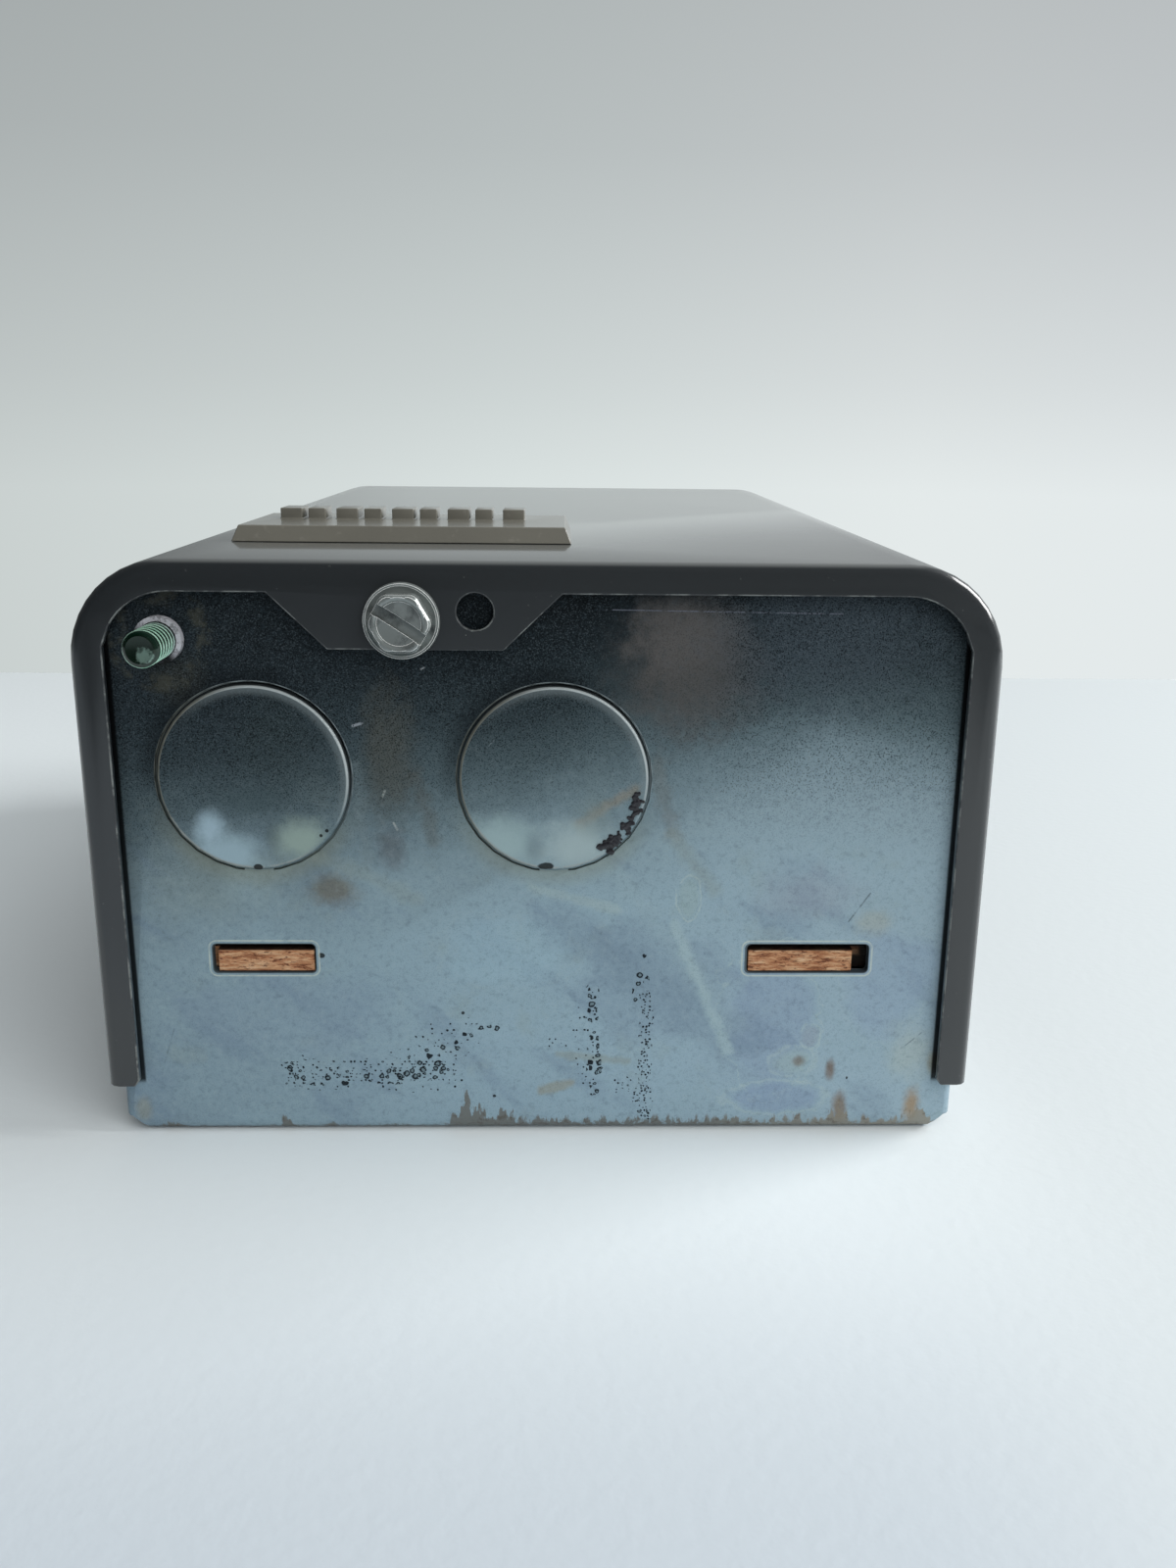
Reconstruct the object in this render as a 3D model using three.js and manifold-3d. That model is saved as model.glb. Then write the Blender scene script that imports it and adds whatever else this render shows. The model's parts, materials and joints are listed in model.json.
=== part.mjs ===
// Wall-mounted switching relay: a folded steel box with a lift-off painted cover, and inside it
// a fibre panel that carries a clapper relay, its line terminals and a low-voltage strip,
// with a control transformer standing on the back plate beside them.
//
// Millimetres, +Z up.  The box lies on its back: z = 0 is the underside of the back plate,
// which is the face that goes against a wall.  -Y is the end wall with the ground screw.

import * as THREE from 'three';
import { mergeVertices } from 'three/addons/utils/BufferGeometryUtils.js';
import Module from 'manifold-3d';

const wasm = await Module();
wasm.setup();

// ---------------------------------------------------------------- driving dimensions

const GAP = 0.3; // clearance between neighbouring pieces
const SEAT = 0.05; // film of air under a piece that rests on another
const THROUGH = 1; // how far a cutting shape runs past the sheet that it cuts
const FACETS = { knockout: 28, turned: 24, washer: 16, hole: 12, shank: 8, lead: 8, spring: 5 };

// folded base: back plate, two end walls with side returns, two low side lips
const SHEET = 1.2;
const BOX_HALF_LENGTH = 78.2;
const BOX_HALF_WIDTH = 51.3;
const BOX_HEIGHT = 69.5;
const SHOULDER_RADIUS = 10.1;
const FOLD_RADIUS = 1.9;
const LIP_HEIGHT = 14;
const RETURN = { depth: 11.3, top: 58, bottom: 2.2, fold: 1.4 };
const CORNER_RELIEF = { side: 1.0, slant: 1.5, notch: 1.9, step: 0.7, slit: 0.6 };
const SCREW_SLEEVE = { radius: 3.3, length: 1.6 };

// cover
const COVER_SHEET = 0.9;
const FLANGE_GAP = 0.8; // between an end wall and the flange that is turned in over it
const COVER_HALF_LENGTH = BOX_HALF_LENGTH + FLANGE_GAP + COVER_SHEET;
const COVER_HALF_WIDTH = 52.5;
const COVER_TOP = 70.7;
const COVER_BOTTOM = 7.1;
const COVER_RADIUS = 11.4;
const COVER_EDGE = 1.3;
const FLANGE_HALF_OPENING = 48.65;
const FLANGE_TOP = 67.15;
const FLANGE_CORNER = { x: 41, z: 59.4, radius: 7.75, shoulder: 61 };
const FLANGE_FOOT = { flare: 0.6, rise: 0.8 };
const TAB = { left: -30.3, lowLeft: -23.8, lowRight: -4.15, right: 2.4, bottom: 60.85 };
const COVER_SCREW = { x: -15.4, z: 64.2 };
const SEAL_HOLE = { x: -7.3, z: 65.2, radius: 2.05 };

// end walls
const KNOCKOUT = { radius: 11.1, z: 45.6, rise: 0.5, rim: 0.3, groove: 0.3, tie: 3.4 };
const KNOCKOUT_X = [-33.1, 1.5];
const SLOT = { bottom: 21.4, top: 25.05, corner: 0.5 };
const SLOT_LEFT = [-39.2, -27.0];
const SLOT_RIGHT = [24.8, 39.6];
const GROUND_SCREW = { x: -42.6, z: 61.7, reach: 7.7 };
const GROUND_COLLAR = { radius: 2.7, bore: 2.15, rise: 1.3 };

// holes in the back plate for the screws that hold the box to a wall
const KEYHOLE = { places: [[-30, -52], [30, -52]], head: 4.6, neck: 2.4, run: 10 };
const WALL_HOLE = { x: 0, y: 66, radius: 2.6 };

// number 8 machine screw with a slotted hexagon washer head
const SCREW = { shank: 2.0, across: 6.35, head: 2.15, washer: 4.3, washerHeight: 0.9, slot: 1.5 };
const SCREW_HOLE = 2.3;

// smaller screws that hold the wires and the internal pieces
const SMALL_SCREW = { shank: 1.6, across: 4.8, head: 1.6, washer: 3.0, washerHeight: 0.6, slot: 1.0 };
const SMALL_HOLE = 1.9;

// badge on the cover
const BADGE = { left: -38.8, right: 3.5, front: -58.9, back: -36.2, height: 2.0, taper: 0.8 };
const BADGE_BARS = { left: -34.9, right: -1.9, front: -47.2, back: -42.2, height: 1.4, count: 9 };
const BAR_SHARE = { wide: 0.78, narrow: 0.62 };
const BADGE_STUD = { radius: 1.4, y: -54.5, inset: 9, length: 3.2 };
const BADGE_CLIP = { radius: 3.4, edge: 0.5, crown: 0.9 };

// fibre panel
const PANEL_THICKNESS = 2.75;
const PANEL_BOTTOM = 21.55;
const PANEL_TOP = PANEL_BOTTOM + PANEL_THICKNESS;
const PANEL_HALF_WIDTH = 49;
const PANEL_HALF_LENGTH = BOX_HALF_LENGTH - SHEET - GAP;
const PANEL_TABS = { near: [[-38.6, -27.2], [25.0, 37.6]], far: [[-38.9, -27.3], [25.1, 39.3]], inset: 0.2 };
const PANEL_NOTCH = { right: -8, near: -14, far: 58 };
const POST = { places: [[42, 46], [-1, -62]], radius: 4, tapped: 9 };

// transformer
const CORE = { x: -27, y: 22, width: 48, stack: 20, height: 40, leg: 8, foot: 1.5 };
const FORMER = { overhang: 7, flange: 1.2, wall: 1.0 };
const WINDING_INSET = { flange: 0.2, side: 0.6, end: 0.4 };
const STRAP = { width: 14, sheet: 1.0, foot: 10.7 };

// relay
const RELAY_X = 26;
const RELAY_WIDTH = 18;
const FRAME = { sheet: 2, front: -20.6, back: 20, heel: 27, ear: 1.6, earReach: 2.6 };
const COIL = { height: 14, radius: 11, flange: 1.4, bore: 4.2, wall: 1.0, inset: 0.2 };
const POLE = { face: -22.1, radius: 4, head: 6, headLength: 1.5, tail: 3 };
const PIVOT = { y: -23.2, z: PANEL_TOP + 3.2, pin: 1.0, bore: 1.3, knuckle: 2.2 };
const ARMATURE = { sheet: 1.8, top: PANEL_TOP + 34, side: 1, notch: 3.4, open: 5 };
const SPRING = { radius: 1.9, wire: 0.35, turns: 3, pitch: 0.9, room: 4.5 };
const CARRIER = { halfWidth: 12, halfHeight: 3.2, sheet: 3 };
const BRIDGE = { halfHeight: 2.8, sheet: 0.8, overhang: 3 };
const CONTACT = { z: PANEL_TOP + 31, radius: 2.2, offset: 16, face: -16.6, closedGap: 0.2 };
const STRIP = { width: 7, sheet: 1.2, near: -58, top: PANEL_TOP + 34.5 };

// terminals
const LINE_SCREW_Y = -52;
const LINE_PLATE_X = [20.6, 31.4];
const LINE_PLATE = { near: -6, far: 8, tab: 6 };
const STRIP_BLOCK = { left: -47.5, near: -50, far: -34, pitch: 7.5, ways: 4, height: 7, floor: 4, wall: 0.5 };
const STRIP_PLATE = { near: -4.5, far: 8.5, sheet: 0.8, screw: 6 };
const BARRIER = { x: -15.5, near: -76, far: -36, sheet: 1.4, height: 32 };

// wires
const LEAD = { radius: 1.1, steps: 16, gap: 0.4 };

// ---------------------------------------------------------------- materials

function finish(color, roughness, metalness) {
  return new THREE.MeshStandardMaterial({ color, roughness, metalness });
}

const finishes = {
  zincSteel: finish(0x8397a8, 0.42, 0.85),
  greyPaint: finish(0x4a4d4f, 0.38, 0.1),
  brightZinc: finish(0xc9cbcb, 0.25, 1.0),
  greenZinc: finish(0x3f9b6f, 0.3, 0.9),
  tanPlastic: finish(0x8f8b7d, 0.5, 0.0),
  fibreBoard: finish(0xa8613a, 0.8, 0.0),
  siliconSteel: finish(0x4b4f55, 0.5, 0.8),
  phenolic: finish(0x2a1d17, 0.45, 0.0),
  coilWrap: finish(0xc2a45a, 0.6, 0.0),
  copper: finish(0xa9562b, 0.35, 0.9),
  brass: finish(0xb8964e, 0.35, 0.95),
  springSteel: finish(0x9aa0a5, 0.3, 0.95),
  whiteLead: finish(0xd8d6cf, 0.55, 0.0),
  blackLead: finish(0x1c1c1d, 0.55, 0.0),
  yellowLead: finish(0xc9a227, 0.55, 0.0),
  blueLead: finish(0x2f4f86, 0.55, 0.0),
};

// ---------------------------------------------------------------- solids

/** A closed three.js geometry as a solid that can be joined and cut. */
function toSolid(geometry) {
  const bare = geometry.clone();
  bare.deleteAttribute('normal');
  bare.deleteAttribute('uv');
  const merged = mergeVertices(bare, 1e-4);
  return new wasm.Manifold(new wasm.Mesh({
    numProp: 3,
    vertProperties: new Float32Array(merged.attributes.position.array),
    triVerts: new Uint32Array(merged.index.array),
  }));
}

function asSolid(shape) {
  return shape.isBufferGeometry ? toSolid(shape) : shape;
}

function join(...shapes) {
  return shapes.map(asSolid).reduce((whole, next) => whole.add(next));
}

function cut(body, ...tools) {
  return tools.map(asSolid).reduce((whole, next) => whole.subtract(next), asSolid(body));
}

function common(first, second) {
  return asSolid(first).intersect(asSolid(second));
}

function toGeometry(solid) {
  const { vertProperties, triVerts } = solid.getMesh();
  const geometry = new THREE.BufferGeometry();
  geometry.setAttribute('position', new THREE.BufferAttribute(vertProperties, 3));
  geometry.setIndex(new THREE.BufferAttribute(triVerts, 1));
  return geometry;
}

/** A named mesh, flat shaded, made from a geometry or a solid. */
function piece(name, shape, material) {
  const mesh = new THREE.Mesh(toGeometry(asSolid(shape)).toNonIndexed(), material);
  mesh.geometry.computeVertexNormals();
  mesh.name = name;
  return mesh;
}

/** Points on an arc, angles in degrees, ends included. */
function arc(u, v, radius, from, to, steps) {
  return Array.from({ length: steps + 1 }, (_, i) => {
    const angle = THREE.MathUtils.degToRad(from + ((to - from) * i) / steps);
    return [u + radius * Math.cos(angle), v + radius * Math.sin(angle)];
  });
}

/** A closed outline from corners [u, v, radius]; a corner with a radius becomes an arc. */
function outline(corners, steps = 5) {
  const count = corners.length;
  const points = corners.flatMap(([u, v, radius = 0], i) => {
    if (radius === 0) {
      return [new THREE.Vector2(u, v)];
    }
    const corner = new THREE.Vector2(u, v);
    const [beforeU, beforeV] = corners[(i + count - 1) % count];
    const [afterU, afterV] = corners[(i + 1) % count];
    const back = new THREE.Vector2(beforeU, beforeV).sub(corner).normalize();
    const on = new THREE.Vector2(afterU, afterV).sub(corner).normalize();
    const half = Math.acos(back.dot(on)) / 2;
    const centre = back.clone().add(on).normalize().multiplyScalar(radius / Math.sin(half)).add(corner);
    const start = back.clone().multiplyScalar(radius / Math.tan(half)).add(corner).sub(centre);
    const turn = Math.sign(on.cross(back)) * (Math.PI - 2 * half);
    return Array.from({ length: steps + 1 }, (_, step) =>
      start.clone().rotateAround(new THREE.Vector2(), (turn * step) / steps).add(centre));
  });
  return new THREE.Shape(points);
}

const X = new THREE.Vector3(1, 0, 0);
const Y = new THREE.Vector3(0, 1, 0);
const Z = new THREE.Vector3(0, 0, 1);
const ALONG = {
  x: new THREE.Matrix4().makeBasis(Y, Z, X),
  y: new THREE.Matrix4().makeBasis(X, Z, Y.clone().negate()),
  z: new THREE.Matrix4(),
};

/**
 * An outline carried along an axis.  It is drawn in (y, z), (x, z) or (x, y), and edge
 * rounds the rims of both ends.
 */
function prism(shape, axis, from, to, edge = 0) {
  const geometry = new THREE.ExtrudeGeometry(shape, {
    depth: to - from - 2 * edge,
    bevelEnabled: edge > 0,
    bevelThickness: edge,
    bevelSize: edge,
    bevelOffset: -edge,
    bevelSegments: 3,
  });
  geometry.translate(0, 0, (axis === 'y' ? -to : from) + edge);
  return geometry.applyMatrix4(ALONG[axis]);
}

function block(x0, x1, y0, y1, z0, z1) {
  const geometry = new THREE.BoxGeometry(x1 - x0, y1 - y0, z1 - z0);
  return geometry.translate((x0 + x1) / 2, (y0 + y1) / 2, (z0 + z1) / 2);
}

/** A profile of [radius, height] pairs, from the axis back to it, revolved round Z. */
function turning(profile, facets = FACETS.turned) {
  const points = profile.map(([radius, height]) => new THREE.Vector2(radius, height));
  return new THREE.LatheGeometry(points, facets).rotateX(Math.PI / 2);
}

function disc(radius, z0, z1, facets = FACETS.turned) {
  return turning([[0, z0], [radius, z0], [radius, z1], [0, z1]], facets);
}

/** A drill that cuts a round hole for a small screw, along Z. */
function drill(x, y, z0, z1, radius = SMALL_HOLE) {
  return disc(radius, z0, z1, FACETS.hole).translate(x, y, 0);
}

/** A round bar along X, centred on the pivot pin's own axis. */
function pivotBar(radius, x0, x1, facets = FACETS.hole) {
  return disc(radius, x0, x1, facets).rotateY(Math.PI / 2);
}

/** Lays a shape made along Z down along Y, its top towards the near end (-Y), and places it. */
function facingNear(geometry, x, y, z) {
  return geometry.rotateX(Math.PI / 2).translate(x, y, z);
}

/** The same shape at the far end of the box, which is the near end turned about Z. */
function farEnd(shape) {
  return toGeometry(asSolid(shape)).rotateZ(Math.PI);
}

function bothEnds(...shapes) {
  return [...shapes, ...shapes.map(farEnd)];
}

/** A tube through points, square at both ends. */
function tube(points, radius, sides, steps) {
  const path = new THREE.CatmullRomCurve3(points.map((p) => new THREE.Vector3(...p)), false, 'centripetal');
  const ring = new THREE.Shape(arc(0, 0, radius, 0, 360 - 360 / sides, sides - 1)
    .map(([u, v]) => new THREE.Vector2(u, v)));
  return new THREE.ExtrudeGeometry(ring, { extrudePath: path, steps, bevelEnabled: false });
}

// ---------------------------------------------------------------- base

/** The end wall's own outline in (x, z), wide above the returns and relieved at the foot. */
function endWallOutline() {
  const side = BOX_HALF_WIDTH - CORNER_RELIEF.side;
  const right = [
    [side - CORNER_RELIEF.notch, -THROUGH], [side - CORNER_RELIEF.slant, CORNER_RELIEF.step],
    [side, RETURN.bottom], [side, RETURN.top],
    [BOX_HALF_WIDTH, RETURN.top], [BOX_HALF_WIDTH, BOX_HEIGHT, SHOULDER_RADIUS],
  ];
  const left = right.map(([x, z, radius]) => [-x, z, radius]).reverse();
  return outline([...right, ...left], 10);
}

/** A channel of sheet: a web on the low side with two flanges standing up from it. */
function channel(half, low, high, sheet, fold) {
  const inner = Math.max(fold - sheet, 0.1);
  return outline([
    [-half, high], [-half, low, fold], [half, low, fold], [half, high],
    [half - sheet, high], [half - sheet, low + sheet, inner],
    [-half + sheet, low + sheet, inner], [-half + sheet, high],
  ], 4);
}

/** The raised face of a half-sheared knockout. */
function knockoutFace(x) {
  const { radius, rise, rim, z } = KNOCKOUT;
  const profile = [[0, -rim], [radius, -rim], [radius, rise - rim], [radius - rim, rise], [0, rise]];
  return facingNear(turning(profile, FACETS.knockout), x, -BOX_HALF_LENGTH, z);
}

/** The dished back of a knockout and the shear line round its face, open but for the tie. */
function knockoutCuts(x) {
  const { radius, rise, rim, groove, tie, z } = KNOCKOUT;
  const face = (size, low, high) =>
    facingNear(disc(size, low, high, FACETS.knockout), x, -BOX_HALF_LENGTH, z);
  const shearLine = cut(
    face(radius + groove, -groove - 0.2, THROUGH),
    face(radius, -THROUGH, 2 * THROUGH),
    block(x - tie / 2, x + tie / 2, -BOX_HALF_LENGTH - 2 * THROUGH, -BOX_HALF_LENGTH + THROUGH,
      z - radius - 2 * groove, z),
  );
  return [face(radius - rim, -SHEET - THROUGH, -SHEET + rise), shearLine];
}

function slotCut([left, right]) {
  const { bottom, top, corner } = SLOT;
  const opening = outline([
    [left, bottom, corner], [right, bottom, corner], [right, top, corner], [left, top, corner],
  ], 2);
  return prism(opening, 'y', -BOX_HALF_LENGTH - THROUGH, -BOX_HALF_LENGTH + SHEET + THROUGH);
}

function wallHole(x, z, radius) {
  const reach = SHEET + SCREW_SLEEVE.length + THROUGH;
  return facingNear(disc(radius, -reach, reach), x, -BOX_HALF_LENGTH, z);
}

/** Keyhole for a wall screw: the head enters the round and slides along the slot. */
function keyhole(x, y) {
  const { head, neck, run } = KEYHOLE;
  const round = neck - SEAT;
  const slot = outline([
    [x - neck, y], [x - neck, y + run, round], [x + neck, y + run, round], [x + neck, y],
  ]);
  return join(
    disc(head, -THROUGH, SHEET + THROUGH).translate(x, y, 0),
    prism(slot, 'z', -THROUGH, SHEET + THROUGH),
  );
}

function base() {
  const strip = common(
    prism(channel(BOX_HALF_LENGTH, 0, BOX_HEIGHT + THROUGH, SHEET, FOLD_RADIUS), 'x',
      -BOX_HALF_WIDTH - THROUGH, BOX_HALF_WIDTH + THROUGH),
    prism(endWallOutline(), 'y', -BOX_HALF_LENGTH - THROUGH, BOX_HALF_LENGTH + THROUGH),
  );
  const lipHalfLength = BOX_HALF_LENGTH - RETURN.depth - CORNER_RELIEF.slit;
  const lips = prism(channel(BOX_HALF_WIDTH, 0, LIP_HEIGHT, SHEET, FOLD_RADIUS), 'y',
    -lipHalfLength, lipHalfLength);
  const returns = prism(
    channel(BOX_HALF_WIDTH, -BOX_HALF_LENGTH, -BOX_HALF_LENGTH + RETURN.depth, SHEET, RETURN.fold),
    'z', RETURN.bottom, RETURN.top);
  const collar = facingNear(disc(GROUND_COLLAR.radius, -SHEET / 2, GROUND_COLLAR.rise),
    GROUND_SCREW.x, -BOX_HALF_LENGTH, GROUND_SCREW.z);
  const screwSleeve = facingNear(disc(SCREW_SLEEVE.radius, -SHEET - SCREW_SLEEVE.length, -SHEET / 2),
    COVER_SCREW.x, -BOX_HALF_LENGTH, COVER_SCREW.z);
  const body = join(strip, lips, ...bothEnds(returns, screwSleeve, ...KNOCKOUT_X.map(knockoutFace)), collar);

  return cut(
    body,
    ...bothEnds(...KNOCKOUT_X.flatMap(knockoutCuts), slotCut(SLOT_LEFT), slotCut(SLOT_RIGHT),
      wallHole(COVER_SCREW.x, COVER_SCREW.z, SCREW_HOLE)),
    wallHole(GROUND_SCREW.x, GROUND_SCREW.z, GROUND_COLLAR.bore),
    ...KEYHOLE.places.map(([x, y]) => keyhole(x, y)),
    drill(WALL_HOLE.x, WALL_HOLE.y, -THROUGH, SHEET + THROUGH, WALL_HOLE.radius),
    ...strapScrewPlaces().map(([x, y]) => drill(x, y, -THROUGH, SHEET + THROUGH, SCREW_HOLE)),
  );
}

// ---------------------------------------------------------------- cover

/** What the turned-in end flange leaves open, with the screw tab standing down into it. */
function flangeOpening() {
  const { x, z, radius, shoulder } = FLANGE_CORNER;
  const side = FLANGE_HALF_OPENING;
  const flared = side + FLANGE_FOOT.flare;
  const foot = COVER_BOTTOM + FLANGE_FOOT.rise;
  const corners = [
    [-flared, 0], [-flared, COVER_BOTTOM], [-side, foot], [-side, shoulder],
    ...arc(-x, z, radius, 150, 90, 8),
    [TAB.left, FLANGE_TOP], [TAB.lowLeft, TAB.bottom], [TAB.lowRight, TAB.bottom], [TAB.right, FLANGE_TOP],
    ...arc(x, z, radius, 90, 30, 8),
    [side, shoulder], [side, foot], [flared, COVER_BOTTOM], [flared, 0],
  ];
  return prism(outline(corners), 'y', -COVER_HALF_LENGTH - THROUGH, -COVER_HALF_LENGTH + 2 * COVER_EDGE);
}

/** The tab's screw hole, open below so that the cover lifts off past a loosened screw. */
function tabSlot() {
  const { x, z } = COVER_SCREW;
  const half = SCREW_HOLE;
  const low = TAB.bottom - THROUGH;
  const slot = outline([[x - half, low], ...arc(x, z, half, 180, 0, 10), [x + half, low]]);
  return prism(slot, 'y', -COVER_HALF_LENGTH - THROUGH, -COVER_HALF_LENGTH + 2 * COVER_EDGE);
}

function cover() {
  const shell = (halfWidth, halfLength, top, radius, edge) => prism(
    outline([[-halfWidth, 0], [halfWidth, 0], [halfWidth, top, radius], [-halfWidth, top, radius]], 10),
    'y', -halfLength, halfLength, edge);
  const outside = shell(COVER_HALF_WIDTH, COVER_HALF_LENGTH, COVER_TOP, COVER_RADIUS, COVER_EDGE);
  const inside = shell(COVER_HALF_WIDTH - COVER_SHEET, COVER_HALF_LENGTH - COVER_SHEET,
    COVER_TOP - COVER_SHEET, COVER_RADIUS - COVER_SHEET, COVER_EDGE - COVER_SHEET);
  const sealHole = facingNear(disc(SEAL_HOLE.radius, -COVER_EDGE - THROUGH, THROUGH),
    SEAL_HOLE.x, -COVER_HALF_LENGTH, SEAL_HOLE.z);
  return cut(
    outside,
    inside,
    block(-COVER_HALF_WIDTH - THROUGH, COVER_HALF_WIDTH + THROUGH,
      -COVER_HALF_LENGTH - THROUGH, COVER_HALF_LENGTH + THROUGH, -THROUGH, COVER_BOTTOM),
    ...bothEnds(flangeOpening(), tabSlot(), sealHole),
    ...badgeStudPlaces().map(([x, y]) =>
      drill(x, y, COVER_TOP - COVER_SHEET - THROUGH, COVER_TOP + THROUGH, BADGE_STUD.radius + GAP)),
  );
}

// ---------------------------------------------------------------- badge

function badgeStudPlaces() {
  return [[BADGE.left + BADGE_STUD.inset, BADGE_STUD.y], [BADGE.right - BADGE_STUD.inset, BADGE_STUD.y]];
}

/** A plain moulded plate with sloping sides, a row of raised bars and two studs below. */
function badge() {
  const { left, right, front, back, height, taper } = BADGE;
  const foot = COVER_TOP + SEAT;
  const plate = new THREE.BoxGeometry(right - left, back - front, height);
  const corners = plate.attributes.position;
  for (let i = 0; i < corners.count; i += 1) {
    if (corners.getZ(i) > 0) {
      corners.setX(i, corners.getX(i) - Math.sign(corners.getX(i)) * taper);
      corners.setY(i, corners.getY(i) - Math.sign(corners.getY(i)) * taper);
    }
  }
  plate.translate((left + right) / 2, (front + back) / 2, foot + height / 2);
  const pitch = (BADGE_BARS.right - BADGE_BARS.left) / BADGE_BARS.count;
  const bars = Array.from({ length: BADGE_BARS.count }, (_, i) => {
    const x = BADGE_BARS.left + i * pitch;
    const width = pitch * (i % 2 ? BAR_SHARE.narrow : BAR_SHARE.wide);
    return block(x, x + width, BADGE_BARS.front, BADGE_BARS.back,
      foot + height / 2, foot + height + BADGE_BARS.height);
  });
  const studs = badgeStudPlaces().map(([x, y]) =>
    drill(x, y, foot - BADGE_STUD.length, foot + height / 2, BADGE_STUD.radius));
  return join(plate, ...bars, ...studs);
}

/** A push-on clip that grips a badge stud from inside the cover. */
function badgeClip() {
  const { radius, edge, crown } = BADGE_CLIP;
  return cut(
    turning([[0, 0], [radius, 0], [radius, edge], [0, crown]], FACETS.washer),
    drill(0, 0, -THROUGH, crown + THROUGH, BADGE_STUD.radius + 2 * SEAT),
  );
}

// ---------------------------------------------------------------- screws

/** A slotted hexagon washer-head screw along Z, its washer seated on z = 0; slotTurn in degrees. */
function washerHeadScrew(size, length, slotTurn = 0) {
  const corner = size.across / Math.sqrt(3);
  const hexagon = outline(arc(0, 0, corner, 0, 300, 5));
  const inWasher = size.washerHeight / 2;
  const top = size.washerHeight + size.head;
  return cut(
    join(
      disc(size.washer, 0, size.washerHeight, FACETS.washer),
      prism(hexagon, 'z', inWasher, top),
      disc(size.shank, -length, inWasher, FACETS.shank),
    ),
    block(-size.across, size.across, -size.slot / 2, size.slot / 2, top - size.head / 2, top + THROUGH)
      .rotateZ(THREE.MathUtils.degToRad(slotTurn)),
  );
}

// ---------------------------------------------------------------- fibre panel

/** Centres of the panel's screw holes: supports, relay, strip block and line terminals. */
function panelHoles() {
  return [
    ...POST.places,
    ...relayScrewPlaces(),
    ...blockScrewPlaces(),
    ...lineScrewPlaces(),
  ];
}

function fibrePanel() {
  const half = PANEL_HALF_WIDTH;
  const end = PANEL_HALF_LENGTH;
  const sheet = prism(outline([
    [-half, -end, 2], [half, -end, 2], [half, end, 2], [-half, end, 2],
    [-half, PANEL_NOTCH.far, 1.5], [PANEL_NOTCH.right, PANEL_NOTCH.far, 2],
    [PANEL_NOTCH.right, PANEL_NOTCH.near, 2], [-half, PANEL_NOTCH.near, 1.5],
  ], 3), 'z', PANEL_BOTTOM, PANEL_TOP);
  const tab = ([left, right]) =>
    block(left, right, -BOX_HALF_LENGTH + PANEL_TABS.inset, -end + THROUGH, PANEL_BOTTOM, PANEL_TOP);
  return cut(
    join(sheet, ...PANEL_TABS.near.map(tab), ...PANEL_TABS.far.map(tab).map(farEnd)),
    ...panelHoles().map(([x, y]) => drill(x, y, PANEL_BOTTOM - THROUGH, PANEL_TOP + THROUGH)),
  );
}

/** A round spacer between the back plate and the panel, tapped at the top. */
function panelPost() {
  return cut(
    disc(POST.radius, SHEET, PANEL_BOTTOM - SEAT, FACETS.washer),
    drill(0, 0, PANEL_BOTTOM - POST.tapped, PANEL_BOTTOM + THROUGH),
  );
}

// ---------------------------------------------------------------- transformer

function strapScrewPlaces() {
  const reach = CORE.width / 2 + GAP + (STRAP.sheet + STRAP.foot) / 2;
  return [[CORE.x, CORE.y - reach], [CORE.x, CORE.y + reach]];
}

/** Stacked laminations: outer frame, centre leg and the two windows that hold the winding. */
function transformerCore() {
  const { y, width, height, leg, foot, stack, x } = CORE;
  const half = width / 2;
  const windows = [[-half + leg, -leg], [leg, half - leg]].map(([near, far]) =>
    block(x - stack, x + stack, y + near, y + far, foot + leg, foot + height - leg));
  return cut(block(x - stack / 2, x + stack / 2, y - half, y + half, foot, foot + height), ...windows);
}

/** Rectangular ring in (x, y) round the centre leg, from z0 to z1. */
function ringRound(inner, outerX, outerY, z0, z1, radius) {
  const { x, y } = CORE;
  const rectangle = (halfX, halfY, corner) => outline([
    [x - halfX, y - halfY, corner], [x + halfX, y - halfY, corner],
    [x + halfX, y + halfY, corner], [x - halfX, y + halfY, corner],
  ], 4);
  return cut(
    prism(rectangle(outerX, outerY, radius), 'z', z0, z1),
    prism(rectangle(CORE.stack / 2 + inner, CORE.leg + inner, 0), 'z', z0 - THROUGH, z1 + THROUGH),
  );
}

function transformerBobbin() {
  const low = CORE.foot + CORE.leg + GAP;
  const high = CORE.foot + CORE.height - CORE.leg - GAP;
  const outerX = CORE.stack / 2 + FORMER.overhang;
  const outerY = CORE.width / 2 - CORE.leg - GAP;
  const tubeWall = GAP + FORMER.wall;
  return join(
    ringRound(GAP, outerX, outerY, low, low + FORMER.flange, 1.5),
    ringRound(GAP, CORE.stack / 2 + tubeWall, CORE.leg + tubeWall, low, high, 0.5),
    ringRound(GAP, outerX, outerY, high - FORMER.flange, high, 1.5),
  );
}

/** Primary and secondary, wound one over the other and wrapped in tape. */
function transformerWinding() {
  const { flange, side, end } = WINDING_INSET;
  const beyondLeg = CORE.leg + GAP + FORMER.flange + flange;
  return ringRound(GAP + FORMER.wall + flange, CORE.stack / 2 + FORMER.overhang - side,
    CORE.width / 2 - CORE.leg - GAP - end, CORE.foot + beyondLeg, CORE.foot + CORE.height - beyondLeg, 3);
}

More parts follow.
